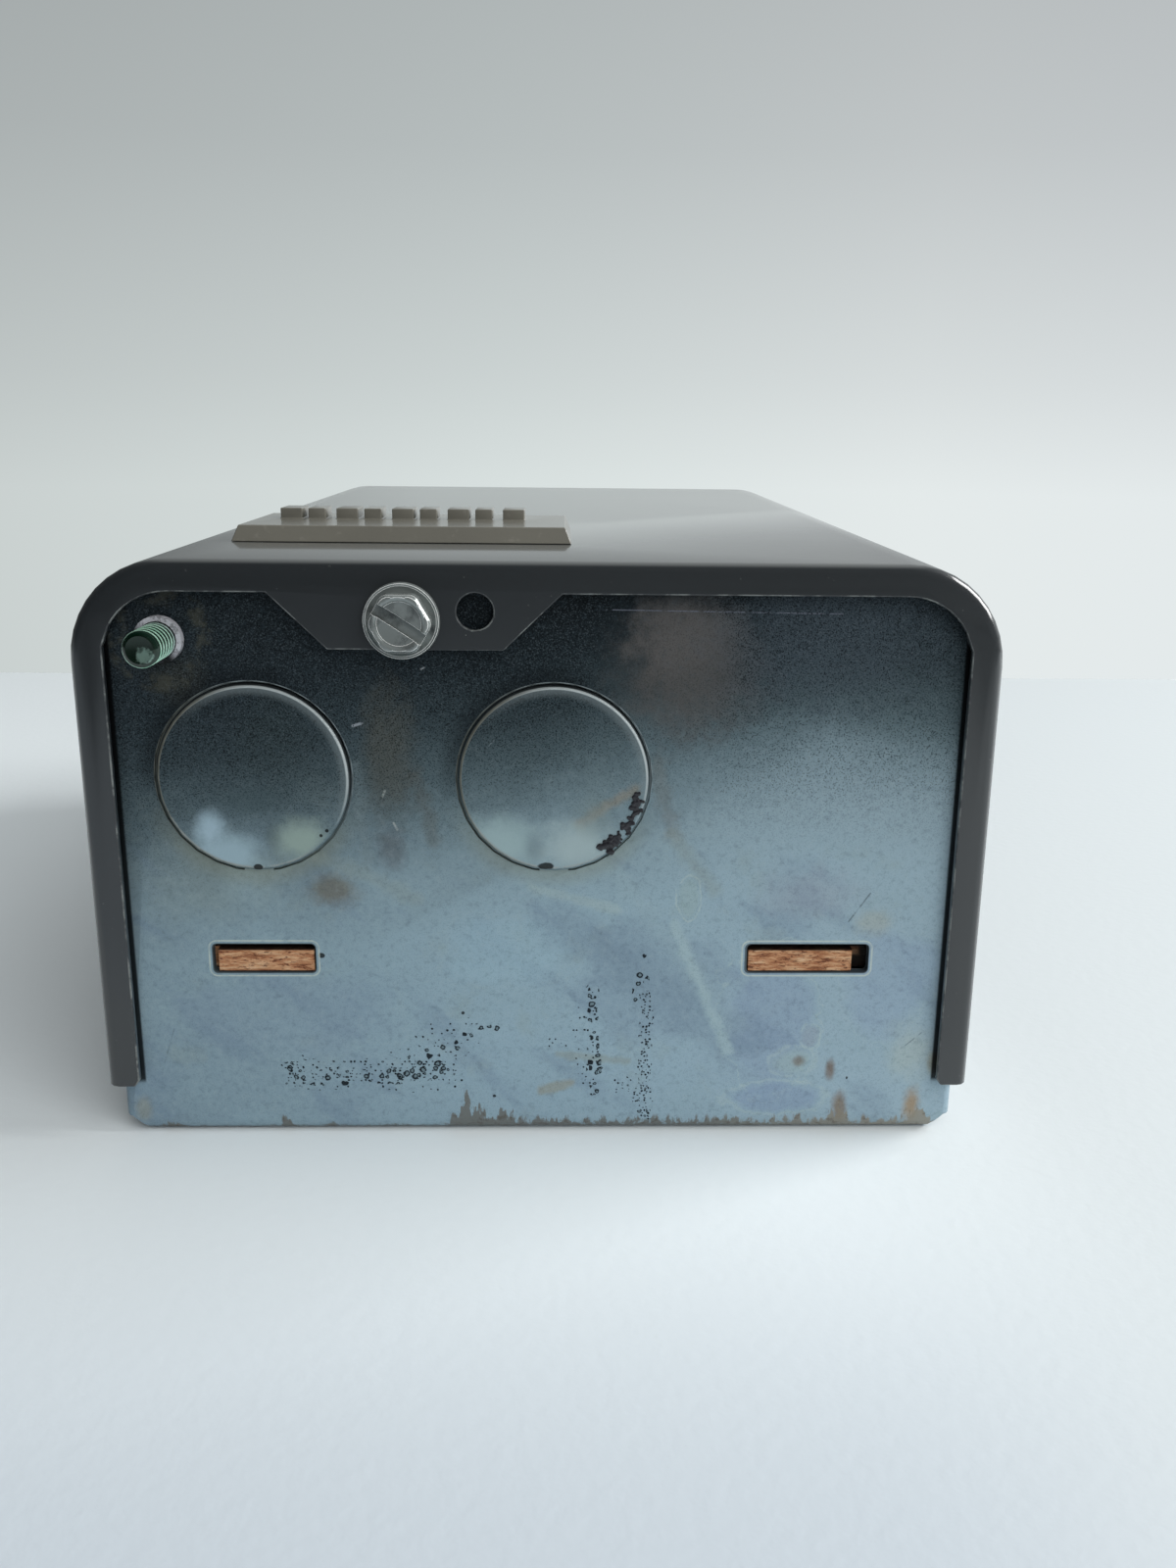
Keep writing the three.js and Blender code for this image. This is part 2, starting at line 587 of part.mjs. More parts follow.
/** A strap over the core with a foot at each end for the mounting screws. */
function transformerStrap() {
  const { width, sheet, foot } = STRAP;
  const half = CORE.width / 2 + GAP;
  const top = CORE.foot + CORE.height + GAP;
  const section = outline([
    [-half - foot, SHEET], [-half, SHEET, 1.4], [-half, top, 0.4], [half, top, 0.4],
    [half, SHEET, 1.4], [half + foot, SHEET], [half + foot, SHEET + sheet],
    [half + sheet, SHEET + sheet, 0.4], [half + sheet, top + sheet, 1.4],
    [-half - sheet, top + sheet, 1.4], [-half - sheet, SHEET + sheet, 0.4], [-half - foot, SHEET + sheet],
  ], 3);
  const band = prism(section, 'x', CORE.x - width / 2, CORE.x + width / 2).translate(0, CORE.y, 0);
  const holes = strapScrewPlaces().map(([x, y]) => drill(x, y, 0, SHEET + sheet + THROUGH, SCREW_HOLE));
  return cut(band, ...holes);
}

// ---------------------------------------------------------------- relay

function relayScrewPlaces() {
  return [[RELAY_X, -10], [RELAY_X, 10]];
}

/** Angle of iron: a foot on the panel, a heel behind the coil and two ears for the pivot pin. */
function relayFrame() {
  const { sheet, front, back, heel, ear, earReach } = FRAME;
  const half = RELAY_WIDTH / 2;
  const foot = PANEL_TOP + sheet;
  const top = PANEL_TOP + heel;
  const section = outline([
    [front, PANEL_TOP], [back, PANEL_TOP, sheet + 0.6], [back, top],
    [back - sheet, top], [back - sheet, foot, 0.6], [front, foot],
  ], 4);
  const earOutline = outline([
    [PIVOT.y - earReach, PANEL_TOP + 0.6, 1], [front + 2 * sheet, PANEL_TOP], [front + 2 * sheet, foot],
    [PIVOT.y + earReach, PIVOT.z + earReach, 2.2], [PIVOT.y - earReach, PIVOT.z + earReach, 2.2],
  ], 4);
  const ears = [[-half - ear, -half + 2 * SEAT], [half - 2 * SEAT, half + ear]].map(([left, right]) =>
    prism(earOutline, 'x', RELAY_X + left, RELAY_X + right));
  const pinHole = pivotBar(PIVOT.pin + 2 * SEAT, -RELAY_WIDTH, RELAY_WIDTH)
    .translate(RELAY_X, PIVOT.y, PIVOT.z);
  const poleHole = facingNear(disc(POLE.radius + 2 * SEAT, -THROUGH, sheet + THROUGH),
    RELAY_X, back, PANEL_TOP + COIL.height);
  return cut(
    join(prism(section, 'x', RELAY_X - half, RELAY_X + half), ...ears),
    pinHole,
    poleHole,
    ...relayScrewPlaces().map(([x, y]) => drill(x, y, PANEL_TOP - THROUGH, foot + THROUGH)),
  );
}

/** Soft-iron pole through the coil, upset behind the heel and wide at the face. */
function relayPole() {
  const { face, radius, head, headLength, tail } = POLE;
  const rivet = face - FRAME.back;
  const profile = [
    [0, rivet - 0.8], [tail, rivet - 0.8], [radius, rivet - 0.2], [radius, -headLength],
    [head, -headLength], [head, 0], [0.8, 0], [0, 0.4],
  ];
  return facingNear(turning(profile), RELAY_X, face, PANEL_TOP + COIL.height);
}

/** A ring about the coil axis between two stations along Y. */
function coilRing(inner, outer, near, far) {
  const profile = [[inner, -far], [outer, -far], [outer, -near], [inner, -near], [inner, -far]];
  return facingNear(turning(profile), RELAY_X, 0, PANEL_TOP + COIL.height);
}

/** Where the relay's bobbin starts and ends along Y. */
function bobbinEnds() {
  return [POLE.face + POLE.headLength + GAP, FRAME.back - FRAME.sheet - GAP];
}

function relayBobbin() {
  const { radius, flange, bore, wall } = COIL;
  const [near, far] = bobbinEnds();
  return join(
    coilRing(bore, radius, near, near + flange),
    coilRing(bore, bore + wall, near + flange / 2, far - flange / 2),
    coilRing(bore, radius, far - flange, far),
  );
}

function relayCoil() {
  const { radius, flange, bore, wall, inset } = COIL;
  const [near, far] = bobbinEnds();
  return coilRing(bore + wall + inset, radius - 4 * inset, near + flange + inset, far - flange - inset);
}

/** The armature's rear face along Y from the pivot, when the relay is closed. */
function armatureBack() {
  return POLE.face - GAP - PIVOT.y;
}

/** Clapper plate with a rolled knuckle, notched for the spring and drawn closed about the pivot. */
function armature() {
  const half = RELAY_WIDTH / 2;
  const { sheet, top, side, notch } = ARMATURE;
  const high = top - PIVOT.z;
  const plate = prism(outline([
    [SPRING.room - half, PIVOT.pin], [half - side, PIVOT.pin], [half - side, high, 1.5],
    [side - half, high, 1.5], [side - half, notch, 0.8], [SPRING.room - half, notch, 0.6],
  ], 3), 'y', armatureBack() - sheet, armatureBack());
  const knuckle = pivotBar(PIVOT.knuckle, SPRING.room - half, half - side / 2, FACETS.turned);
  return cut(join(plate, knuckle), pivotBar(PIVOT.bore, -half, half));
}

/** The outline of a flat bar across the relay at the height of its contacts, with round corners. */
function roundedBar(halfWidth, halfHeight, radius) {
  const z = CONTACT.z - PIVOT.z;
  return outline([
    [-halfWidth, z - halfHeight, radius], [halfWidth, z - halfHeight, radius],
    [halfWidth, z + halfHeight, radius], [-halfWidth, z + halfHeight, radius],
  ], 3);
}

/** Insulating bar behind the armature's top that carries the contact bridge. */
function contactCarrier() {
  const { halfWidth, halfHeight, sheet } = CARRIER;
  const start = armatureBack() + 2 * SEAT;
  return prism(roundedBar(halfWidth, halfHeight, 1), 'y', start, start + sheet);
}

/** Bronze bridge with a silver button at each end; it closes across both fixed contacts. */
function contactBridge() {
  const { halfHeight, sheet, overhang } = BRIDGE;
  const start = armatureBack() + CARRIER.sheet + 4 * SEAT;
  const blade = prism(roundedBar(CONTACT.offset + overhang, halfHeight, 2), 'y', start, start + sheet);
  const buttons = [-1, 1].map((side) =>
    facingNear(disc(CONTACT.radius, PIVOT.y - CONTACT.face, -start - sheet / 2, FACETS.hole),
      side * CONTACT.offset, 0, CONTACT.z - PIVOT.z));
  return join(blade, ...buttons);
}

/** Fixed contact: a strip along the panel, turned up beside the coil, with a silver button. */
function fixedContact(side) {
  const x = RELAY_X + side * CONTACT.offset;
  const face = CONTACT.face + CONTACT.closedGap;
  const front = face + 1.5;
  const section = outline([
    [STRIP.near, PANEL_TOP], [front + STRIP.sheet, PANEL_TOP, 2], [front + STRIP.sheet, STRIP.top],
    [front, STRIP.top], [front, PANEL_TOP + STRIP.sheet, 0.8], [STRIP.near, PANEL_TOP + STRIP.sheet],
  ], 4);
  const strip = prism(section, 'x', x - STRIP.width / 2, x + STRIP.width / 2);
  const button = facingNear(disc(CONTACT.radius, -front - STRIP.sheet / 2, -face, FACETS.hole),
    x, 0, CONTACT.z);
  const hole = drill(x, LINE_SCREW_Y, PANEL_TOP - THROUGH, PANEL_TOP + STRIP.sheet + THROUGH);
  return cut(join(strip, button), hole);
}

/** Torsion spring on the pivot pin: one leg up behind the armature, one back along the frame. */
function returnSpring() {
  const { radius, wire, turns, pitch } = SPRING;
  const start = 1 - RELAY_WIDTH / 2;
  const perTurn = 8;
  const helix = Array.from({ length: turns * perTurn + 1 }, (_, i) => {
    const angle = (-2 * Math.PI * i) / perTurn;
    return [start + (pitch * i) / perTurn, radius * Math.cos(angle), radius * Math.sin(angle)];
  });
  const end = start + turns * pitch;
  const upperLeg = [[start, radius - 0.65, 9], [start, radius - 0.3, 5]];
  const lowerLeg = [
    [end + 0.1, radius + 0.5, -0.6], [end + 0.2, radius + 3, -0.7], [end + 0.2, radius + 8, -0.75],
  ];
  return tube([...upperLeg, ...helix, ...lowerLeg], wire, FACETS.spring, 18 * turns + 2);
}

// ---------------------------------------------------------------- terminals

function lineScrewPlaces() {
  return [RELAY_X - CONTACT.offset, ...LINE_PLATE_X, RELAY_X + CONTACT.offset].map((x) => [x, LINE_SCREW_Y]);
}

/** Brass terminal plate with a turned-up solder tab. */
function linePlate() {
  const { near, far, tab } = LINE_PLATE;
  const { sheet, width } = STRIP;
  const section = outline([
    [near, 0], [far, 0, 2], [far, tab], [far - sheet, tab], [far - sheet, sheet, 0.8], [near, sheet],
  ], 4);
  return cut(prism(section, 'x', -width / 2, width / 2), drill(0, 0, -THROUGH, sheet + THROUGH));
}

function blockScrewPlaces() {
  const { left, pitch, near, far } = STRIP_BLOCK;
  return [1, 3].map((way) => [left + way * pitch, (near + far) / 2 + 5.6]);
}

function wayCentre(way) {
  return STRIP_BLOCK.left + (way + 0.5) * STRIP_BLOCK.pitch;
}

/** Moulded strip with a wall between neighbouring ways. */
function stripBlock() {
  const { left, near, far, pitch, ways, height, wall } = STRIP_BLOCK;
  const right = left + pitch * ways;
  const floor = PANEL_TOP + STRIP_BLOCK.floor;
  const body = prism(outline([[left, near, 1], [right, near, 1], [right, far, 1], [left, far, 1]], 3),
    'z', PANEL_TOP, PANEL_TOP + height);
  const bays = Array.from({ length: ways }, (_, way) =>
    block(wayCentre(way) - pitch / 2 + wall, wayCentre(way) + pitch / 2 - wall, near - THROUGH, far + THROUGH,
      floor, PANEL_TOP + height + THROUGH));
  const sockets = Array.from({ length: ways }, (_, way) =>
    drill(wayCentre(way), near + STRIP_PLATE.screw, PANEL_TOP + wall, floor + THROUGH));
  const below = blockScrewPlaces().map(([x, y]) =>
    drill(x, y, PANEL_TOP - THROUGH, floor - STRIP_PLATE.sheet));
  return cut(body, ...bays, ...sockets, ...below);
}

function stripPlate() {
  const { near, far, sheet } = STRIP_PLATE;
  const half = STRIP_BLOCK.pitch / 2 - STRIP_BLOCK.wall - GAP;
  return cut(block(-half, half, near, far, SEAT, SEAT + sheet), drill(0, 0, -THROUGH, sheet + THROUGH));
}

// ---------------------------------------------------------------- assembly

const relayBox = new THREE.Group();

function place(mesh, x, y, z) {
  mesh.position.set(x, y, z);
  relayBox.add(mesh);
  return mesh;
}

function addEnclosure() {
  relayBox.add(piece('base_pan', base(), finishes.zincSteel));
  relayBox.add(piece('cover', cover(), finishes.greyPaint));
  relayBox.add(piece('badge', badge(), finishes.tanPlastic));
  badgeStudPlaces().forEach(([x, y], i) => {
    place(piece(`badge_clip_${i + 1}`, badgeClip(), finishes.springSteel), x, y,
      COVER_TOP - COVER_SHEET - BADGE_CLIP.crown - SEAT);
  });
  const seat = COVER_HALF_LENGTH + 3 * SEAT;
  const near = place(piece('cover_screw_near', washerHeadScrew(SCREW, 8, -33), finishes.brightZinc),
    COVER_SCREW.x, -seat, COVER_SCREW.z);
  near.rotation.set(Math.PI / 2, 0, 0);
  const far = place(piece('cover_screw_far', washerHeadScrew(SCREW, 8), finishes.brightZinc),
    -COVER_SCREW.x, seat, COVER_SCREW.z);
  far.rotation.set(-Math.PI / 2, 0, 0);
  const inside = BOX_HALF_LENGTH - SHEET - GAP;
  const ground = place(piece('ground_screw',
    washerHeadScrew(SCREW, GROUND_SCREW.reach + SHEET + GAP), finishes.greenZinc),
  GROUND_SCREW.x, -inside, GROUND_SCREW.z);
  ground.rotation.set(-Math.PI / 2, 0, 0);
}

function addPanel() {
  relayBox.add(piece('fibre_panel', fibrePanel(), finishes.fibreBoard));
  POST.places.forEach(([x, y], i) => {
    place(piece(`panel_post_${i + 1}`, panelPost(), finishes.brightZinc), x, y, 0);
    place(piece(`panel_screw_${i + 1}`, washerHeadScrew(SMALL_SCREW, 8), finishes.brightZinc),
      x, y, PANEL_TOP + SEAT);
  });
  const { x, near, far, sheet, height } = BARRIER;
  relayBox.add(piece('barrier', block(x, x + sheet, near, far, PANEL_TOP + SEAT, PANEL_TOP + height),
    finishes.fibreBoard));
}

function addTransformer() {
  relayBox.add(piece('transformer_core', transformerCore(), finishes.siliconSteel));
  relayBox.add(piece('transformer_bobbin', transformerBobbin(), finishes.phenolic));
  relayBox.add(piece('transformer_winding', transformerWinding(), finishes.coilWrap));
  relayBox.add(piece('transformer_strap', transformerStrap(), finishes.zincSteel));
  strapScrewPlaces().forEach(([x, y], i) => {
    place(piece(`strap_screw_${i + 1}`, washerHeadScrew(SCREW, 2), finishes.brightZinc),
      x, y, SHEET + STRAP.sheet + SEAT);
  });
}

function addRelay() {
  relayBox.add(piece('relay_frame', relayFrame(), finishes.zincSteel));
  relayBox.add(piece('relay_pole', relayPole(), finishes.siliconSteel));
  relayBox.add(piece('relay_bobbin', relayBobbin(), finishes.phenolic));
  relayBox.add(piece('relay_coil', relayCoil(), finishes.copper));
  const half = RELAY_WIDTH / 2 + FRAME.ear;
  place(piece('pivot_pin', pivotBar(PIVOT.pin, -half, half), finishes.brightZinc), RELAY_X, PIVOT.y, PIVOT.z);
  place(piece('return_spring', returnSpring(), finishes.springSteel), RELAY_X, PIVOT.y, PIVOT.z);
  [-1, 1].forEach((side) => {
    const name = side < 0 ? 'fixed_contact_left' : 'fixed_contact_right';
    relayBox.add(piece(name, fixedContact(side), finishes.brass));
  });
  relayScrewPlaces().forEach(([x, y], i) => {
    const screw = place(piece(`relay_screw_${i + 1}`, washerHeadScrew(SMALL_SCREW, 4.4), finishes.brightZinc),
      x, y, PANEL_BOTTOM - SEAT);
    screw.rotation.set(Math.PI, 0, 0);
  });

  const clapper = new THREE.Group();
  clapper.position.set(RELAY_X, PIVOT.y, PIVOT.z);
  clapper.rotation.set(THREE.MathUtils.degToRad(ARMATURE.open), 0, 0);
  clapper.add(piece('armature', armature(), finishes.siliconSteel));
  clapper.add(piece('contact_carrier', contactCarrier(), finishes.phenolic));
  clapper.add(piece('contact_bridge', contactBridge(), finishes.brass));
  relayBox.add(clapper);
}

function addTerminals() {
  lineScrewPlaces().forEach(([x, y], i) => {
    place(piece(`line_screw_${i + 1}`, washerHeadScrew(SMALL_SCREW, 5.5), finishes.brass),
      x, y, PANEL_TOP + STRIP.sheet + SEAT);
  });
  LINE_PLATE_X.forEach((x, i) => {
    place(piece(`line_plate_${i + 1}`, linePlate(), finishes.brass), x, LINE_SCREW_Y, PANEL_TOP + SEAT);
  });
  relayBox.add(piece('low_voltage_block', stripBlock(), finishes.phenolic));
  blockScrewPlaces().forEach(([x, y], i) => {
    const screw = place(piece(`block_screw_${i + 1}`, washerHeadScrew(SMALL_SCREW, 5.5), finishes.brightZinc),
      x, y, PANEL_BOTTOM - SEAT);
    screw.rotation.set(Math.PI, 0, 0);
  });
  for (let way = 0; way < STRIP_BLOCK.ways; way += 1) {
    const y = STRIP_BLOCK.near + STRIP_PLATE.screw;
    const z = PANEL_TOP + STRIP_BLOCK.floor;
    place(piece(`low_voltage_plate_${way + 1}`, stripPlate(), finishes.brass), wayCentre(way), y, z);
    place(piece(`low_voltage_screw_${way + 1}`, washerHeadScrew(SMALL_SCREW, 3.6), finishes.brass),
      wayCentre(way), y, z + STRIP_PLATE.sheet + 2 * SEAT);
  }
}

function addWiring() {
  const lead = (name, points, material) => {
    relayBox.add(piece(name, tube(points, LEAD.radius, FACETS.lead, LEAD.steps), material));
  };
  const top = PANEL_TOP;
  const coilSide = CORE.x + CORE.stack / 2 + FORMER.overhang + 2 * SEAT;
  const tabFar = LINE_SCREW_Y + LINE_PLATE.far + LEAD.gap;
  const blockFar = STRIP_BLOCK.far + LEAD.gap;
  lead('primary_lead_black', [
    [coilSide, 16, 27.6], [coilSide + 4, 15.5, 28.2], [-3.5, 8, top + 8], [-2, -20, top + 9],
    [5, -32, top + 7], [LINE_PLATE_X[0], -39, top + 5], [LINE_PLATE_X[0], tabFar, top + 4],
  ], finishes.blackLead);
  lead('primary_lead_white', [
    [coilSide, 28, 27.6], [coilSide + 5, 27.5, 28.2], [0.5, 8, top + 8], [2, -20, top + 9],
    [12, -31, top + 8], [LINE_PLATE_X[1], -36, top + 5], [LINE_PLATE_X[1], tabFar, top + 4],
  ], finishes.whiteLead);
  lead('secondary_lead_1', [
    [-41, 14, top + 10.3], [-41, 4, top + 10.4], [-43, -12, top + 9], [wayCentre(0), -26, top + 7],
    [wayCentre(0), blockFar, top + 6.3],
  ], finishes.yellowLead);
  lead('secondary_lead_2', [
    [-13, 14, top + 10.3], [-13, 4, top + 10.4], [-13.5, -12, top + 10], [-19, -22, top + 8],
    [wayCentre(3), blockFar, top + 6.3],
  ], finishes.yellowLead);
  lead('coil_lead_1', [
    [wayCentre(2), blockFar, top + 6.3], [wayCentre(2), -29, top + 4], [-14, -20, top + 2],
    [3, -9, top + 2], [8, 4, top + 3], [RELAY_X - 11.5, 15.2, top + 9],
  ], finishes.blueLead);
}

addEnclosure();
addPanel();
addTransformer();
addRelay();
addTerminals();
addWiring();

export default relayBox;
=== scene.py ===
# %% [markdown]
# # A wall-mounted switching relay, dressed for its picture
#
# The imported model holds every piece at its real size. This lesson gives the pieces the finish
# that such a box has after some decades: passivated zinc that has bloomed and spotted, grey
# baked paint, a moulded badge, a plated screw with a slotted hexagon head, a green ground screw
# and the raw edges of a fibre board. First come the frame, the camera and the light, then the
# finishes, then the pieces.

# %% Load the frame
import json
import math
import random

import bmesh
import bpy
from mathutils import Matrix, Vector, noise

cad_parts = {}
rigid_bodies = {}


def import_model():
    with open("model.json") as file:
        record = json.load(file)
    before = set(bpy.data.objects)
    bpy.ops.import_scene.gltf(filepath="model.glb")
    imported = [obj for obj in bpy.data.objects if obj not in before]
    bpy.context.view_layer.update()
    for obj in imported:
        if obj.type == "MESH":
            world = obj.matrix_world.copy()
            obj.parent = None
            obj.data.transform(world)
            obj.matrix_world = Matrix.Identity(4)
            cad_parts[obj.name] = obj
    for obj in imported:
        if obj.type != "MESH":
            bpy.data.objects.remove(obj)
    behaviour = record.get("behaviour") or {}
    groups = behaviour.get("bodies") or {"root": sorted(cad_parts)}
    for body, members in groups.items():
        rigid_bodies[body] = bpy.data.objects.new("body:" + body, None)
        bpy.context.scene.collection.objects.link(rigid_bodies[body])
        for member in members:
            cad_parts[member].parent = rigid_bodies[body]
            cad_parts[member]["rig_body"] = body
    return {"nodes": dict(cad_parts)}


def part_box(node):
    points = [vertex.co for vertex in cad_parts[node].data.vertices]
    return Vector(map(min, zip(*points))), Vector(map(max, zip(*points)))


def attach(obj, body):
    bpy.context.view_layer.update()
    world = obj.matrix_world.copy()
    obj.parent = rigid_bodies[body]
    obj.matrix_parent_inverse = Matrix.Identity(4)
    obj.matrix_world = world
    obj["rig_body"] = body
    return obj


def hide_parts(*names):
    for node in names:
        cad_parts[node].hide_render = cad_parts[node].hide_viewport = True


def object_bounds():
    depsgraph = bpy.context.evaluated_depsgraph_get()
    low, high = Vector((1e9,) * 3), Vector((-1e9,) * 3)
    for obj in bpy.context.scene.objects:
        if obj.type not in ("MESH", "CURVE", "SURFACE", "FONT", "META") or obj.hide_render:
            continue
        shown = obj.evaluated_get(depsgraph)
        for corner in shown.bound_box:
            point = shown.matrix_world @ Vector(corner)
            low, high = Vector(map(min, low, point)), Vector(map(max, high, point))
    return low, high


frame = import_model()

MM = 0.001
cad_low, cad_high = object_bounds()
print("box of the packed model:", [round(v / MM, 1) for v in (*cad_low, *cad_high)], "mm")

# %% [markdown]
# ## Camera
#
# The box is looked at from close by and a little above, nearly square to its near end. A close
# camera makes the far end small, so its distance matters as much as its direction. It could be
# aimed with a constraint. Here it is turned by three plain angles, which stay true when another
# view moves it.

# %% Camera
LENS = 30.73
CAMERA_SPOT = Vector((2.54, -228.1, 86.2)) * MM
CAMERA_DOWN = 0.268
CAMERA_RIGHT = 0.027
CAMERA_ROLL = 0.011
CAMERA_SHIFT = -0.0063


def placed(name, data):
    """Puts a mesh, lamp or camera into the scene as an object."""
    made = bpy.data.objects.new(name, data)
    bpy.context.scene.collection.objects.link(made)
    return made


camera_data = bpy.data.cameras.new("camera")
camera_data.lens = LENS
camera_data.shift_x = CAMERA_SHIFT
camera_data.clip_start = 0.01
camera = placed("camera", camera_data)
turn = (
    Matrix.Rotation(-CAMERA_RIGHT, 4, "Z")
    @ Matrix.Rotation(math.pi / 2 - CAMERA_DOWN, 4, "X")
    @ Matrix.Rotation(CAMERA_ROLL, 4, "Z")
)
camera.matrix_world = Matrix.Translation(CAMERA_SPOT) @ turn
bpy.context.scene.camera = camera
bpy.context.scene.view_settings.view_transform = "Standard"
print("camera", [round(v, 3) for v in camera.location], "lens", camera_data.lens)

# %% [markdown]
# ## Colours
#
# Colours are written as they are seen, from 0 to 255. Blender's shaders count light, so each
# number is turned from the display's curve to a linear one.

# %% Colour helper
def rgb(red, green, blue):
    """A colour as seen on a display, as the linear colour that a shader takes."""
    def linear(level):
        share = level / 255
        return share / 12.92 if share <= 0.04045 else ((share + 0.055) / 1.055) ** 2.4

    return (linear(red), linear(green), linear(blue), 1.0)


print("middle grey is", round(rgb(128, 128, 128)[0], 3), "in a shader")

# %% [markdown]
# ## Node trees
#
# The world and every finish are trees of nodes. Written out in full, each node takes four lines.
# Three small helpers add a node, with its links and plain values, in one call.

# %% Node helpers
def feed(tree, socket, value):
    """Links a value that comes from a node, or writes a plain one."""
    if isinstance(value, bpy.types.NodeSocket):
        tree.links.new(value, socket)
    else:
        socket.default_value = value


def add_node(tree, kind, feeds=None, **settings):
    """Adds a node, with values for its sockets and settings."""
    node = tree.nodes.new(kind)
    for name, value in settings.items():
        setattr(node, name, value)
    for socket, value in (feeds or {}).items():
        feed(tree, node.inputs[socket], value)
    return node


def add_ramp(tree, value, stops):
    """Turns a value into a colour by its place among the stops."""
    node = add_node(tree, "ShaderNodeValToRGB", {0: value})
    elements = node.color_ramp.elements
    while len(elements) < len(stops):
        elements.new(0.5)
    for element, (position, colour) in zip(elements, stops):
        element.position = position
        element.color = colour
    return node.outputs[0]


print("node helpers ready")

# %% [markdown]
# ## Light and surroundings
#
# The box lies on a white table that ends at a pale wall, and a window stands to its right. The
# wall could be a second plane, but then it would block the view from behind, so it is the
# world's colour: a soft ramp from left to right and from the horizon up. Its light on the pieces
# is weaker from the left, and it shows dimmer in shiny pieces in front and on the left, where the
# room is dark. One broad lamp stands for the window, and a weak one in front keeps the near end
# readable.

# %% World
FILL = 0.42
world = bpy.data.worlds.new("room")
bpy.context.scene.world = world
world.use_nodes = True
room = world.node_tree
room.nodes.clear()


def room_node(kind, feeds=None, **settings):
    return add_node(room, kind, feeds, **settings).outputs[0]


def between(value, start, end, low=0.0, high=1.0):
    """Runs evenly from low to high as a value runs from start to end."""
    return room_node("ShaderNodeMapRange", {0: value, 1: start, 2: end, 3: low, 4: high})


def either_of(first, second):
    return room_node("ShaderNodeMath", {0: first, 1: second}, operation="MAXIMUM")


place = add_node(room, "ShaderNodeTexCoord").outputs["Generated"]
right, back, up = add_node(room, "ShaderNodeSeparateXYZ", {0: place}).outputs
wall = add_ramp(room, between(right, -0.42, 0.42),
                [(0.0, rgb(200, 207, 206)), (0.45, rgb(216, 224, 223)),
                 (0.8, rgb(228, 234, 234)), (1.0, rgb(228, 234, 235))])
upward = add_ramp(room, between(up, -0.05, 0.45),
                  [(0.0, (1, 1, 1, 1)), (0.15, (0.87, 0.87, 0.875, 1)),
                   (0.45, (0.68, 0.68, 0.69, 1)), (1.0, (0.5, 0.5, 0.51, 1))])
shaded = add_node(room, "ShaderNodeMix", {0: 1.0, 6: wall, 7: upward}, data_type="RGBA",
                  blend_type="MULTIPLY").outputs[2]
ahead = between(back, 0.2, -0.35, 1.0, between(right, -0.5, 0.5, 0.03, 0.3))
leftward = between(right, -0.1, -0.6, 1.0, 0.2)
unlit = room_node("ShaderNodeMath", {0: ahead, 1: leftward}, operation="MULTIPLY")
rays = add_node(room, "ShaderNodeLightPath").outputs
dimmed = room_node("ShaderNodeMix", {0: rays["Is Glossy Ray"], 2: 1.0, 3: unlit})
seen = room_node("ShaderNodeBackground", {0: shaded, 1: dimmed})
evenness = between(right, -0.7, 0.5, FILL * 0.45, FILL * 1.25)
fill = room_node("ShaderNodeBackground", {0: rgb(246, 250, 252), 1: evenness})
mirrored = either_of(rays["Is Camera Ray"], rays["Is Glossy Ray"])
direct = either_of(mirrored, rays["Is Transmission Ray"])
both = room_node("ShaderNodeMixShader", {0: direct, 1: fill, 2: seen})
add_node(room, "ShaderNodeOutputWorld", {0: both})
print("world nodes:", len(room.nodes))

# %% Lamps
def lamp(name, spot, size, power, glossy):
    """A square soft lamp at a spot in metres, aimed at the middle of the box."""
    data = bpy.data.lights.new(name, "AREA")
    data.size = size
    data.energy = power
    holder = placed(name, data)
    middle = (cad_low + cad_high) / 2
    holder.location = spot
    holder.visible_glossy = glossy
    holder.rotation_euler = (middle - Vector(spot)).to_track_quat("-Z", "Y").to_euler()


lamp("window", (1.1, 0.1, 0.7), 0.7, 15.0, glossy=True)
lamp("front_fill", (0.5, -0.95, 0.85), 1.0, 10.0, glossy=False)

# %% Floor
FLOOR_END = 0.226
FLOOR_REACH = 2.5
FLOOR_DROP = 0.02 * MM  # keeps the table top just clear of the box's underside


def to_mesh(shape, name):
    mesh = bpy.data.meshes.new(name)
    shape.to_mesh(mesh)
    shape.free()
    return mesh


floor_shape = bmesh.new()
corners = [(-FLOOR_REACH, -FLOOR_REACH), (FLOOR_REACH, -FLOOR_REACH), (FLOOR_REACH, FLOOR_END),
           (-FLOOR_REACH, FLOOR_END)]
floor_shape.faces.new([floor_shape.verts.new((x, y, -FLOOR_DROP)) for x, y in corners])
floor_mesh = to_mesh(floor_shape, "table_top")
floor = placed("table_top", floor_mesh)
print("table top ends", FLOOR_END, "m behind the middle of the box")

# %% [markdown]
# ## A short way to write finishes
#
# Most finishes need the same few things: noise, soft steps, and one colour laid over another. A
# small class gives each a name. All of its patterns read the place on the object in millimetres,
# so a grain of 0.4 is 0.4 mm wide wherever it is.

